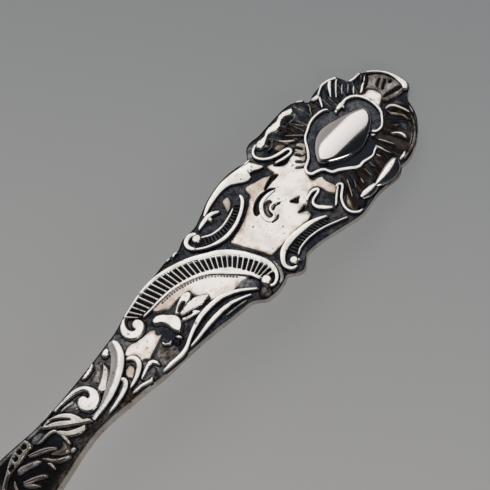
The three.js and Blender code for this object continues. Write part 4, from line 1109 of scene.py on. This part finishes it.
# %% The ribbed scrolls
make_piece("right_ribbed_scroll", "right_scroll", [
    strand([25.3, 7.4, 26.3, 6.8, 27.3, 6.35, 28.3, 6.05, 29.5, 5.85, 31, 5.7, 32.3, 5.75, 33.5, 6,
        34.4, 6.45, 35.1, 7.1, 35.55, 7.8, 35.6, 8.4, 35.35, 9, 34.9, 9.35, 34.3, 9.45],
        [0.15, 0.4, 0.58, 0.75, 0.88, 0.95, 0.98, 0.92, 0.82, 0.68, 0.6, 0.5, 0.4, 0.35, 0.15],
        0.7),
    strand([23.4, 9.8, 24.2, 9.4, 25, 9.05, 26, 8.6, 27, 8.2, 28, 7.9, 29, 7.7, 30, 7.6, 31, 7.65,
        32, 7.8, 32.6, 8.1, 33.1, 8.35], [0.12, 0.2, 0.2, 0.22, 0.22, 0.2, 0.12]),
    fluted([26, 7.3, 27.2, 6.8, 28.4, 6.5, 29.8, 6.35, 31.2, 6.3, 32.4, 6.4, 33.4, 6.7],
        [25.6, 8.6, 26.8, 8.1, 28, 7.75, 29.4, 7.5, 30.8, 7.45, 32, 7.6, 33, 8],
        14, 0.22, 0.25, 0.5, (0.04, 0.96), 0.92),
    bead(34.05, 8.4, 0.8, 0.78, 0.62, fullness=9),
    strand([33.3, 9.2, 33.55, 8.8, 33.9, 8.5], [0.2, 0.35, 0.4], 0.5, 0.2),
])

make_piece("left_ribbed_scroll", "left_scroll", [
    strand([31.55, -5.6, 31.6, -5.1, 31.9, -4.5, 32.5, -3.95, 33.3, -3.4, 34.2, -2.95, 35.2, -2.55,
        36.3, -2.3, 37.4, -2.2, 38.4, -2.25, 39.4, -2.5, 40.4, -2.9, 41.3, -3.4, 42.1, -4,
        42.6, -4.5],
        [0.12, 0.4, 0.5, 0.5, 0.5, 0.5, 0.5, 0.5, 0.55, 0.55, 0.5, 0.35, 0.3, 0.25, 0.2], 0.65),
    strand([42.4, -4.3, 42.8, -4.9, 42.95, -5.5, 42.75, -6.15, 42.15, -6.55, 41.4, -6.6,
        40.85, -6.3, 40.6, -5.8], [0.3, 0.5, 0.6, 0.65, 0.65, 0.6, 0.5, 0.3], 0.65),
    bead(41.1, -5.5, 0.9, 0.85, 0.62, fullness=9),
    strand([33.7, -4.75, 34.5, -4.45, 35.5, -4.15, 36.5, -3.95, 37.5, -3.9, 38.5, -4.05, 39.3, -4.3,
        40, -4.75, 40.6, -5.15], [0.15, 0.22, 0.28, 0.28, 0.25, 0.25, 0.2]),
    fluted([32.4, -4.6, 33.4, -3.9, 34.6, -3.4, 36, -2.95, 37.4, -2.8, 38.8, -2.95, 40, -3.4,
        41, -3.9],
        [32.9, -5.4, 33.8, -4.6, 34.8, -4.2, 36, -3.85, 37.3, -3.75, 38.6, -3.9, 39.6, -4.3,
        40.5, -4.9], 16, 0.22, 0.25, 0.5, (0.04, 0.96), 0.92),
    strand([39.9, -6.25, 39, -6.5, 38.2, -6.65, 37.3, -6.75, 36.5, -6.6, 35.9, -6.25, 35.4, -5.9],
        [0.15, 0.5, 0.6, 0.65, 0.55, 0.4, 0.12]),
    bead(37.4, -6.15, 0.5, 0.5, 0.52, fullness=5),
    strand([44.6, -6.15, 45, -6.4, 45.3, -6.35, 45.8, -6.15], [0.12, 0.28, 0.25, 0.1], 0.45),
    strand([46, -6.45, 46.4, -6.5, 46.9, -6.5], [0.1, 0.18, 0.1], 0.4),
])

# %% [markdown]
# A tall fluted arch leads down the left of the stem and ends in a volute. Two plain rails hold
# its row of grooves. The window of the grooves narrows towards the right, where the metal
# between them and the inner rail is rubbed flat, so its borders are given as lists.

# %% The fluted arch
ARCH_OUTER = [
    39.4, 8.35, 39.15, 8.7, 38.6, 8.75, 37.9, 8.45, 37.3, 7.8, 36.95, 7, 36.85, 6.2, 36.9, 5.3,
    37.2, 4.3, 37.6, 3.3, 38.05, 2.2, 38.6, 1.2, 39.2, 0.25, 39.9, -0.6, 40.6, -1.3, 41.3, -1.85,
    42, -2.3, 43, -3.05, 44, -3.72, 45, -4.25, 46, -4.7, 47, -5.1, 48, -5.45, 49, -5.72, 50, -5.92,
    51, -6.02, 52, -6.03, 53, -5.97, 54, -5.83, 55, -5.64, 56, -5.43, 57, -5.24, 57.7, -5.05,
]
ARCH_INNER = [
    39.55, 6.7, 39.75, 6, 39.95, 5.2, 40.3, 4.5, 40.7, 3.9, 41.2, 3.2, 41.7, 2.55, 42.2, 1.9,
    42.7, 1.25, 43.2, 0.65, 43.7, 0.1, 44.3, -0.4, 45, -0.87, 45.7, -1.27, 46.4, -1.62, 47.2, -1.93,
    48, -2.2, 49, -2.5, 50, -2.7, 51, -2.8, 52, -2.86, 53, -2.87, 54, -2.88, 55.6, -2.95,
]
make_piece("fluted_arch_band", "fluted_arch", [
    strand(ARCH_OUTER,
        [0.3, 0.4, 0.55, 0.65, 0.72, 0.78, 0.82, 0.8, 0.75, 0.65, 0.55, 0.4, 0.3, 0.25, 0.2], 0.55),
    strand(ARCH_INNER, [0.15, 0.25, 0.35, 0.45, 0.5, 0.5, 0.48, 0.42, 0.38, 0.35, 0.32, 0.2], 0.54),
    fluted([37.2, 7.6, 36.9, 6.2, 37.3, 4, 38.1, 2.05, 39.1, 0.45, 40.4, -1.1, 42.1, -2.4, 44, -3.7,
        46.2, -4.8, 48.6, -5.6, 50.9, -6, 53, -5.95, 55, -5.65, 56.9, -5.25, 57.8, -5],
        [39.3, 7, 39.55, 6.2, 39.95, 5.1, 40.8, 3.8, 41.6, 2.7, 42.4, 1.6, 43.4, 0.4, 44.65, -0.75,
        46.45, -1.85, 48.35, -2.55, 50.25, -3, 52.25, -3.15, 54.3, -3.2, 55.8, -3.4, 56.6, -3.7],
        31, 0.5, 0.5, 0.6, ([0.14, 0.18, 0.2, 0.18, 0.14, 0.1, 0.06, 0.05],
        [0.95, 0.85, 0.72, 0.84, 0.97, 0.99, 0.99, 0.99])),
    relief([39.35, 6.6, 38.7, 6.6, 38.25, 7.25, 38.45, 8, 39.15, 8.15, 39.85, 7.7, 39.85, 6.95],
        0.6, 0.3),
    strand([36.15, 5.9, 36.3, 7.15, 36.7, 8.2, 37.3, 8.9, 38.2, 9.3], [0.15, 0.4, 0.5, 0.4, 0.15],
        0.25, 0.5),
    relief([39.65, 8.1, 40.2, 7.6, 41, 7.9, 41.4, 8.5, 41, 9.1, 40.3, 9.3, 39.8, 8.9],
        0.4, 0.7, 0.7, 0.3),
    relief([57.9, -5.15, 58.9, -4.7, 59.6, -3.85, 59.75, -2.8, 59.4, -1.95, 58.7, -1.35, 57.7, -1.2,
        56.8, -1.5, 56.2, -2.15, 56.15, -2.95, 56.55, -3.55, 57.1, -3.65, 57.6, -3.4, 57.8, -2.9,
        57.75, -2.5, 58.15, -2.65, 58.45, -3.25, 58.3, -3.95, 57.85, -4.6, 57.2, -5], 0.55, 0.2),
])

# %% [markdown]
# Beside the arch two ribs follow the right edge, with a faint line outside them. They are plain
# strands: the sunk ground between them is black already, which makes them look higher.

# %% The ribs
make_piece("edge_ribs", "border_ribs", [
    strand([40.9, 7.45, 41.5, 6.9, 42.2, 6.2, 43, 5.5, 43.7, 5, 44.5, 4.55, 45.2, 4.2, 46, 3.95,
        47, 3.8, 48, 3.75, 49, 3.75, 50, 3.85, 51, 4.1, 52, 4.4, 53, 4.8, 53.7, 5.1, 54.3, 5.4,
        55, 5.65, 56, 5.8, 57, 5.75, 58, 5.6, 59, 5.55, 59.9, 5.5],
        [0.2, 0.35, 0.5, 0.6, 0.72, 0.75, 0.7, 0.55, 0.45, 0.5, 0.6, 0.55, 0.15], 0.62),
    strand([42.2, 7.4, 43, 6.95, 43.7, 6.6, 44.5, 6.25, 45.2, 5.95, 46, 5.8, 47, 5.65, 48, 5.6,
        49, 5.6, 50, 5.65, 51, 5.75, 52, 5.85, 53, 5.95, 54.3, 6],
        [0.15, 0.3, 0.45, 0.6, 0.65, 0.6, 0.4, 0.15], 0.62),
    strand([43.3, 7.35, 44.4, 7.1, 45.8, 6.85, 47.2, 6.65], [0.06, 0.14, 0.12, 0.05], 0.4, 0.5),
])

# %% [markdown]
# Under the arch grows a bud: a bowed cup and three petals, with a dark bead beside it. A leaf
# between two routes is too even for their hooked tips, so each of them is a relief.

# %% The bud
make_piece("bud_and_petals", "flower_bud", [
    relief([55.15, -1.5, 54.3, -1.6, 53.4, -1.05, 52.85, -0.35, 52.3, 0.3, 52, 1, 52.1, 1.85,
        52.8, 2.75, 53.65, 3.05, 54, 2.5, 54.15, 1.7, 54.15, 0.9, 54.5, 0, 55.2, -0.6,
        55.35, -1.05], 0.6, 0.3),
    relief([52.03, 0.44, 51.13, -0.11, 50.29, -0.49, 49.46, -0.76, 48.71, -0.74, 48.25, -0.44,
        48.21, 0.11, 48.67, 0.45, 49.36, 0.63, 50.44, 0.72, 51.47, 0.86, 51.89, 0.73],
        0.5, 0.12, 0.0, 0.1, [[50.1, 0, 49.75, 0.35, 50.9, 0.68, 51.5, 0.7, 50.9, 0.25]], 0.08),
    relief([51.45, 1, 49.4, 0.8, 48.25, 0.95, 47.48, 1.38, 46.5, 2.35, 47.19, 2.5, 48.2, 2.6,
        49.14, 2.34, 50.02, 1.95, 51.28, 1.55, 51.6, 1.35], 0.5, 0.12, 0.0, 0.25, pad=0.08),
    relief([51.84, 1.8, 51.04, 2.26, 50.2, 2.51, 50.02, 2.23, 49.59, 2.5, 49.3, 3.2, 50, 3,
        51.12, 2.6, 52.05, 2.15], 0.45, 0.1, pad=0.1),
    relief([56.5, 2, 56.4, 2.55, 55.8, 2.95, 55.4, 2.95, 55.8, 3.25, 56.5, 2.9, 56.75, 2.35],
        0.4, 0.12),
    relief([54.6, 3, 54.15, 3.3, 54.1, 3.85, 54.5, 3.6], 0.4, 0.12),
    bead(55.05, 3.75, 0.62, 0.62, 0.3, 1.0),
])

# %% [markdown]
# A small tulip opens below the bud. A thin hooked relief round a grey patch is its cup, and
# thick strands that taper to the right are its outer petals.

# %% The tulip
make_piece("tulip_cup", "tulip", [
    relief([62.7, 3.5, 61.7, 3.05, 60.8, 2.75, 59.95, 2.65, 59.4, 3, 59.2, 3.65, 59.4, 4.3,
        59.6, 3.85, 59.95, 3.3, 60.45, 3.2, 61.2, 3.4, 62.1, 3.68, 62.75, 3.75], 0.45, 0.12),
    patch([63, 3.95, 61.9, 3.5, 60.8, 3.45, 60.2, 3.7, 60.2, 4.3, 60.9, 4.7, 61.9, 4.65, 63, 4.35],
        0.15, 0.4, 0.85),
    strand([61.4, 4.75, 62, 4.95, 62.6, 4.75, 63.4, 4.45, 64.4, 4.3, 65.3, 4.2],
        [0.2, 0.4, 0.45, 0.42, 0.35, 0.1], 0.5, 0.05),
    strand([62.2, -0.25, 61.6, 0, 61.2, 0.45, 61.1, 1, 61.25, 1.6, 61.7, 2.15, 62.3, 2.5, 63, 2.85,
        64, 3.15, 65, 3.4], [0.3, 0.6, 0.75, 0.8, 0.8, 0.75, 0.7, 0.6, 0.45, 0.1], 0.55),
    strand([64.95, 1.1, 64.6, 1.6, 64.7, 2.1, 65.1, 2.5, 65.7, 2.8, 66.5, 3.05, 67.5, 3.25,
        68.6, 3.4, 69.8, 3.5], [0.3, 0.65, 0.75, 0.75, 0.7, 0.65, 0.55, 0.4, 0.1], 0.55),
])

# %% [markdown]
# An S-shaped band crosses the stem, and a round volute faces it. The band is a leaf whose crown
# gets flatter along the way, so that its shine spreads towards the end. The volute is a relief,
# because its width changes all the way round the spiral.

# %% The S-scroll and the volute
make_piece("stem_s_scroll", "stem_scroll", [
    leaf([61.6, -4.1, 62, -4.1, 62.4, -3.65, 62.9, -2.8, 63.7, -1.95, 64.5, -1.25, 65.4, -0.6,
        66.4, 0, 67.4, 0.55, 68.4, 1.1, 69.4, 1.6, 70.4, 1.9, 71.3, 2, 72, 2.15],
        [61.2, -3.9, 61.05, -3.2, 61.25, -2.25, 61.7, -1.3, 62.45, -0.45, 63.3, 0.25, 64.3, 0.85,
        65.45, 1.4, 66.7, 1.85, 67.7, 2.15, 68.8, 2.3, 69.7, 2.4, 70.7, 2.4, 71.95, 2.5], 0.7,
        crown=[0.18, 0.2, 0.16, 0.08, 0.06], lean=0.4),
    relief([64, -3.85, 63.3, -4.05, 62.75, -3.95, 62.65, -3.5, 63, -3.05, 63.6, -3, 64.1, -3.3],
        0.5, 0.25),
    relief([64.75, -2.7, 65.9, -1.75, 67.3, -0.95, 68.2, -0.55, 68.25, 0.25, 67.6, 0.75, 66.6, 0.1,
        65.8, -0.45, 64.9, -1.45], 0.5, 0.25, 0.05, 0.2),
    patch([65.75, -3.8, 65.2, -2.95, 66.1, -1.85, 67.5, -0.9, 68, -1.7, 67.85, -2.3, 66.8, -2.7],
        0.1, 0.5, 0.6, 0.2),
])

make_piece("stem_round_volute", "stem_volute", [
    relief([75.1, -3.55, 73.7, -3.55, 72.3, -3.5, 71, -3.4, 70, -3.1, 69, -2.3, 68.5, -1.25,
        68.4, -0.2, 68.85, 0.75, 69.6, 1.3, 70.6, 1.45, 71.45, 1.1, 72, 0.4, 72.2, -0.45,
        71.9, -1.3, 71.2, -1.75, 70.5, -1.6, 70.2, -1.15, 70.15, -0.7, 69.85, -0.75, 69.6, -1.1,
        69.6, -1.6, 69.9, -2.05, 70.65, -2.45, 71.7, -2.8, 72.8, -3, 73.9, -3.1, 75, -3.2],
        0.6, 0.25),
    relief([68.7, -3.45, 67.9, -3.6, 66.8, -3.75, 65.95, -3.9, 66, -3.65, 66.8, -3.25, 67.65, -3.15,
        68.45, -3.25], 0.45, 0.12),
    strand([72, -2, 72.8, -2.2, 73.6, -2.4, 74.4, -2.5], [0.12, 0.35, 0.3, 0.1], 0.45, 0.2),
    patch([72, -2.5, 73.2, -2.7, 74.2, -2.5, 73.6, -1.9, 72.9, -1.2, 72.3, -1, 71.9, -1.6],
        0.08, 0.5, 0.5, 0.2),
    strand([75.2, -3.7, 76.4, -3.68, 77.9, -3.7], [0.12, 0.3, 0.1], 0.5, 0.1),
])

# %% [markdown]
# A spray of slender leaves runs down to the neck. They get darker and finer on the way: most of the
# later ones carry more soot, and the ground between them does too.

# %% The leaf spray
make_piece("slender_leaves", "leaf_spray", [
    relief([76.6, -3.25, 75.65, -2.9, 74.7, -2.4, 73.9, -1.65, 73.35, -0.75, 73.05, 0.25, 72.9, 1,
        72.4, 1.4, 72.2, 2.3, 72.6, 2.1, 73, 1.8, 73.85, 1.15, 74.6, 0.45, 75.4, -0.25,
        76.15, -0.95, 76.9, -1.7, 77.65, -2.4, 78.15, -3.05, 77.4, -3.2], 0.5, 0.2, 0.0, 0.2,
        [[77.3, -2.85, 76.5, -2.5, 75.5, -1.75, 74.3, -0.5, 75.4, -1.95, 76.5, -2.75]]),
    relief([77.2, -1.2, 76.5, -0.65, 75.9, 0.2, 75.05, 0.85, 74.1, 1.4, 73.4, 1.8, 73.6, 2.2,
        74.3, 2.25, 75.1, 2.05, 75.9, 1.5, 76.6, 0.8, 77, 0, 77.15, -0.7], 0.45, 0.2, 0.0, 0.25),
    strand([76.9, -0.9, 77.2, -1.25, 77.8, -1.55, 78.8, -1.7, 79.65, -1.75, 80.3, -1.95],
        [0.35, 0.4, 0.4, 0.3, 0.1], 0.45, 0.12),
    relief([80.3, -3.2, 79.7, -3.25, 79, -3, 78.6, -2.55, 78.6, -2.1, 79.3, -2.05, 80, -2.15,
        80.6, -2.5, 80.75, -2.9], 0.1, 0.4, 0.62),
    relief([76.9, 0, 76.65, 0.5, 76.7, 1.25, 76.85, 2, 77.1, 1.95, 77.05, 1.15, 77.05, 0.4],
        0.5, 0.12, 0.0, 0.2),
    relief([77.5, 0.7, 77.2, 1.3, 77.3, 2.05, 77.6, 2.55, 78.3, 2.55, 78.95, 2.1, 79.6, 1.3,
        80, 0.65, 79.4, 0.8, 78.7, 1.2, 77.95, 1.15], 0.35, 0.7, 0.45, 0.7),
    relief([82.45, -2.05, 81.5, -1.65, 80.5, -1.15, 79.6, -0.55, 78.9, 0.25, 78.7, 0.7, 79, 0.8,
        79.7, 0.2, 80.6, -0.4, 81.4, -0.9, 82.2, -1.4, 82.6, -1.75], 0.45, 0.42, 0.08, 0.4),
    relief([81.4, 0, 80.8, 0.6, 80.2, 1.5, 79.45, 2.2, 78.8, 2.65, 78.2, 3.1, 78.3, 3.4, 78.95, 3.3,
        79.7, 2.95, 80.4, 2.3, 80.9, 1.5, 81.25, 0.7], 0.48, 0.42, 0.03, 0.4),
    relief([77.4, 2.75, 77.1, 2.8, 76.9, 3.2, 77.4, 3.25, 77.85, 3.05], 0.45, 0.12, 0.05),
    relief([85.3, -1.75, 84.5, -1.75, 83.7, -1.4, 82.7, -0.85, 82.05, -0.35, 81.8, 0.2, 82.45, 0.05,
        83.15, -0.15, 83.9, -0.5, 84.8, -0.8, 85.5, -1.1], 0.42, 0.5, 0.3, 0.0),
    relief([81.4, 1.3, 81.05, 1.6, 81, 2.3, 81.2, 2.9, 81.35, 2.55, 81.3, 1.95],
        0.45, 0.12, 0.15, 0.3),
    relief([85.9, 0.15, 84.95, 0.55, 83.95, 1.1, 83.2, 1.65, 82.65, 2.35, 82.85, 2.55, 83.5, 2.2,
        84.4, 1.6, 85.25, 1.15, 86, 0.5], 0.42, 0.42, 0.12, 0.4),
    relief([86.2, 0.45, 85.4, 1.2, 84.8, 2.1, 84.6, 2.75, 85.35, 2.15, 86.15, 1],
        0.4, 0.42, 0.2, 0.4),
    strand([86.6, -0.9, 87.2, -0.1, 87.4, 0.9], [0.1, 0.4, 0.1], 0.35, 0.5, 0.4),
])

# %% [markdown]
# On the left of the neck a barred strip closes the ornament. It is one relief with four cuts,
# so that the bars stay standing between them.

# %% The ladder
make_piece("ladder_rails", "ladder_strip", [
    relief([81.1, -3.95, 82.2, -4.05, 83.3, -3.95, 84.5, -3.75, 85.4, -3.4, 86.4, -2.85, 87.5, -2.3,
        88.8, -1.5, 88.6, -1.2, 87.4, -1.85, 86.4, -2.2, 85.2, -2.2, 84.5, -2.2, 83.6, -2.2,
        82.7, -2.3, 82, -2.45, 81.1, -2.4, 80.9, -3.2], 0.5, 0.2, 0.06, 0.35,
        [[82.25, -3.75, 81.6, -3.5, 81.7, -2.9, 82.25, -3.05],
        [83.25, -3.7, 82.65, -3.65, 82.7, -2.95, 83.25, -3.05],
        [84.35, -3.4, 83.75, -3.3, 83.8, -2.75, 84.4, -2.8],
        [85.8, -2.9, 85.1, -2.9, 85, -2.5, 86, -2.4]]),
])

# %% [markdown]
# The bowl is a thin egg-shaped dish. It could be sculpted, but a formula keeps its wall even.
# Across, its section is one minus a power of the place, and along, its depth follows a sine. The
# first ring is the neck's own section, so that bowl and stem meet without a step, and the thick
# heel then fades softly into the wall. A rounded lip finishes the rim.

# %% The bowl
BOWL_LENGTH, BOWL_WIDTH, BOWL_DEPTH, BOWL_WALL = 47.0, 31.5, 7.4, 0.95
BOWL_WIDEST, SHOULDER_LENGTH, TIP_FULLNESS, NOSE_TURN = 19.0, 7.0, 10.0, 0.6
RIM_SAG, BOWL_CURVE, BOWL_FULLNESS, HEEL_LENGTH, LIP = 0.7, 2.3, 0.75, 13.0, 0.12


def control_curve(points, t):
    """A cubic curve from its four control points."""
    p = np.array(points, float)
    t = t[:, None]
    near_start = (1 - t) ** 3 * p[0] + 3 * t * (1 - t) ** 2 * p[1]
    return near_start + 3 * t**2 * (1 - t) * p[2] + t**3 * p[3]


def bowl_rings():
    """Inside and outside of the dish for each place along the outline, from the heel to the
    tip. The wall is measured square to the surface, so it grows with the slope's hypotenuse."""
    half, heel, widest = BOWL_WIDTH / 2, HEEL_WIDTH / 2, BOWL_WIDEST
    turn = widest + NOSE_TURN * (BOWL_LENGTH - widest)
    shoulder = [(0, heel), (SHOULDER_LENGTH, heel), (SHOULDER_LENGTH, half), (widest, half)]
    nose = [(widest, half), (turn, half), (BOWL_LENGTH, TIP_FULLNESS), (BOWL_LENGTH, 0)]
    place = np.concatenate([
        control_curve(shoulder, np.linspace(0, 1, 61)),
        control_curve(nose, np.linspace(0, 1, 120) ** 0.8)[1:-1],
    ])
    along, wide = place[:, :1], place[:, 1:]
    share = along / BOWL_LENGTH
    rim = RIM_HEIGHT - RIM_SAG * np.sin(np.pi * share)
    arc = np.sin(np.pi * np.clip(share, 0, 1)) ** BOWL_FULLNESS
    depth = BOWL_DEPTH * arc * step_between(along, -3, 6)
    q = np.sin(np.linspace(-math.pi / 2, math.pi / 2, 71))
    steep = depth * BOWL_CURVE * np.abs(q) ** (BOWL_CURVE - 1) / wide
    heel_wall = STEM_THICKNESS * (1 - BACK_ROUNDING * q**2)
    past_heel = step_between(along, 0, HEEL_LENGTH)
    wall = heel_wall + (BOWL_WALL * np.hypot(1, steep) - heel_wall) * past_heel
    inside = rim - depth * (1 - np.abs(q) ** BOWL_CURVE)
    lip = LIP * step_between(np.abs(q), 0.985, 1) * step_between(along, 2, 8)
    x = face_x[-1] - along + 0 * q
    top = np.stack([x, -q * wide, inside - lip], -1)
    under = np.stack([x, -q * wide, np.maximum(inside - wall + lip, 0)], -1)
    return np.concatenate([top, under[:, ::-1]], axis=1) * MM


make_piece("bowl_dish", "bowl", [(bowl_rings(), 0.0, 0.0)], "polished_silver")

# %% [markdown]
# Polished metal shows what stands around it, so where the lamp stands matters more than how
# strong it is. The camera leans to one side of the face's normal, and the lamp leans as far to
# the other. Flat parts of the handle then mirror the lamp and come out white, while steep flanks
# mirror the dim room and come out dark.

# %% Where camera and lamp lean
AIM_ALONG = 37.05
PITCH, ROLL = math.radians(12), math.radians(22)
AIM = Vector(on_face(AIM_ALONG, 0.95, 0.4))
aim_slope = float(np.interp(AIM_ALONG, walk, face_slope))
TO_TIP = Vector((math.cos(aim_slope), 0, math.sin(aim_slope)))
FACE_UP = Vector((-math.sin(aim_slope), 0, math.cos(aim_slope)))
TO_RIGHT = Vector((0, -1, 0))


def leaning(to_tip, to_right):
    """A unit vector that leans from the face's normal by the sines given."""
    upright = math.sqrt(1 - to_tip**2 - to_right**2)
    return TO_TIP * to_tip + TO_RIGHT * to_right + FACE_UP * upright


view = leaning(-math.sin(PITCH), math.sin(ROLL))
mirror = leaning(math.sin(PITCH), -math.sin(ROLL))
print("camera towards", np.round(view, 3), "lamp towards", np.round(mirror, 3))

# %% [markdown]
# The spoon lies on a plain pale table. Its colour grows a little lighter towards the bowl: a
# painted pool of light. The table is partly lit, so that it takes the spoon's shadow. For the rest
# it glows, with a tone that grows lighter the same way, which only the camera and mirroring or
# clear surfaces see, so no more light falls on the spoon.

# %% The table
LIGHT_POOL_TOWARDS, LIGHT_POOL_MIDDLE = (-9.6, -4.4, 0), 0.9
LIT_FAR, LIT_NEAR = (0.66, 0.662, 0.665, 1), (0.86, 0.845, 0.835, 1)
GLOW_FAR, GLOW_NEAR = (0.2415, 0.254, 0.2585, 1), (0.3735, 0.3655, 0.3545, 1)
GLOW_SHARE, TABLE_REACH = 0.7, 3

floor_mesh = bpy.data.meshes.new("table")
corners = [(x * TABLE_REACH, y * TABLE_REACH, 0) for x, y in ((-1, -1), (1, -1), (1, 1), (-1, 1))]
floor_mesh.from_pydata(corners, [], [(0, 1, 2, 3)])
floor = bpy.data.objects.new("table", floor_mesh)
bpy.context.scene.collection.objects.link(floor)
table, tone, shader = new_material("matt_table")
# Painted pool of light: the table's colour and glow grow lighter towards the bowl.
fade = tone.dot("Object", LIGHT_POOL_TOWARDS)
fade = (fade + LIGHT_POOL_MIDDLE + (tone.noise(30, 2) - 0.5) * 0.05).clamped()
plug(fade.blend(LIT_FAR, LIT_NEAR), shader, "Base Color")
glow = tone.node("ShaderNodeEmission", {}, {"Color": fade.blend(GLOW_FAR, GLOW_NEAR)})
kinds = ("Camera", "Glossy", "Transmission")
camera_ray, glossy_ray, clear_ray = (
    tone.node("ShaderNodeLightPath", {}, {}, f"Is {kind} Ray") for kind in kinds)
glow_mix = ((camera_ray + glossy_ray + clear_ray) * GLOW_SHARE).clamped()
lit = Tone(tone.tree, shader.outputs[0])
surface = tone.node("ShaderNodeMixShader", {}, {0: glow_mix, 1: lit, 2: glow})
plug(surface, tone.tree.nodes["Material Output"], "Surface")
shader.inputs["Roughness"].default_value = 0.9
shader.inputs["Specular IOR Level"].default_value = 0.1
floor_mesh.materials.append(table)
print("table:", 2 * TABLE_REACH, "m wide")

# %% [markdown]
# One large soft lamp does most of the work, and a weak one fills in from the side. The room is
# dim, but a little brighter on the left, so that slopes which face left come out grey and not
# black.

# %% Lamps and room
DARK_SIDE, PALE_SIDE = (0.011, 0.013, 0.017, 1), (0.45, 0.44, 0.43, 1)
TO_PALE_SIDE = (-0.2, 1, -0.3)


def soft_lamp(name, direction, away, size, power):
    light = bpy.data.lights.new(name, "AREA")
    light.shape = "DISK"
    light.size = size
    light.energy = power
    lamp = bpy.data.objects.new(name, light)
    lamp.location = AIM + direction.normalized() * away
    lamp.rotation_euler = direction.to_track_quat("Z", "Y").to_euler()
    bpy.context.scene.collection.objects.link(lamp)
    print(name, power, "W at", np.round(lamp.location, 2))


soft_lamp("large_softbox", mirror, away=0.9, size=0.84, power=1.33)
soft_lamp("side_fill", Vector((-0.2, -1, 0.75)), away=0.8, size=0.5, power=1.2)
world = bpy.data.worlds.new("dim_room")
world.use_nodes = True
leftness = Tone(world.node_tree).dot("Generated", TO_PALE_SIDE)
room = leftness.between(-0.3, 0.9).blend(DARK_SIDE, PALE_SIDE)
plug(room, world.node_tree.nodes["Background"], "Color")
bpy.context.scene.world = world
bpy.context.scene.view_settings.view_transform = "Standard"

# %% [markdown]
# The camera looks down on the handle from its right side, rolled so that the handle runs from
# the lower left to the upper right of the picture. A long lens keeps the drawing nearly flat.

# %% Camera
PICTURE_WIDTH, REACH, HANDLE_ANGLE, SENSOR = 0.07448, 0.32, math.radians(45.8), 36.0
along_picture = (TO_TIP - view * TO_TIP.dot(view)).normalized()
sideways = view.cross(along_picture)
right = along_picture * math.cos(HANDLE_ANGLE) - sideways * math.sin(HANDLE_ANGLE)
up = along_picture * math.sin(HANDLE_ANGLE) + sideways * math.cos(HANDLE_ANGLE)
turned = Matrix((right, up, view)).transposed().to_4x4()
lens = bpy.data.cameras.new("camera")
lens.sensor_width = SENSOR
lens.lens = SENSOR * REACH / PICTURE_WIDTH
lens.clip_start = 0.01
camera = bpy.data.objects.new("camera", lens)
camera.matrix_world = Matrix.Translation(AIM + view * REACH) @ turned
bpy.context.scene.collection.objects.link(camera)
bpy.context.scene.camera = camera
print("camera at", np.round(camera.location, 4))

# %% [markdown]
# That is the whole scene: the dressed spoon, the table, two lamps, the dim room and the camera.
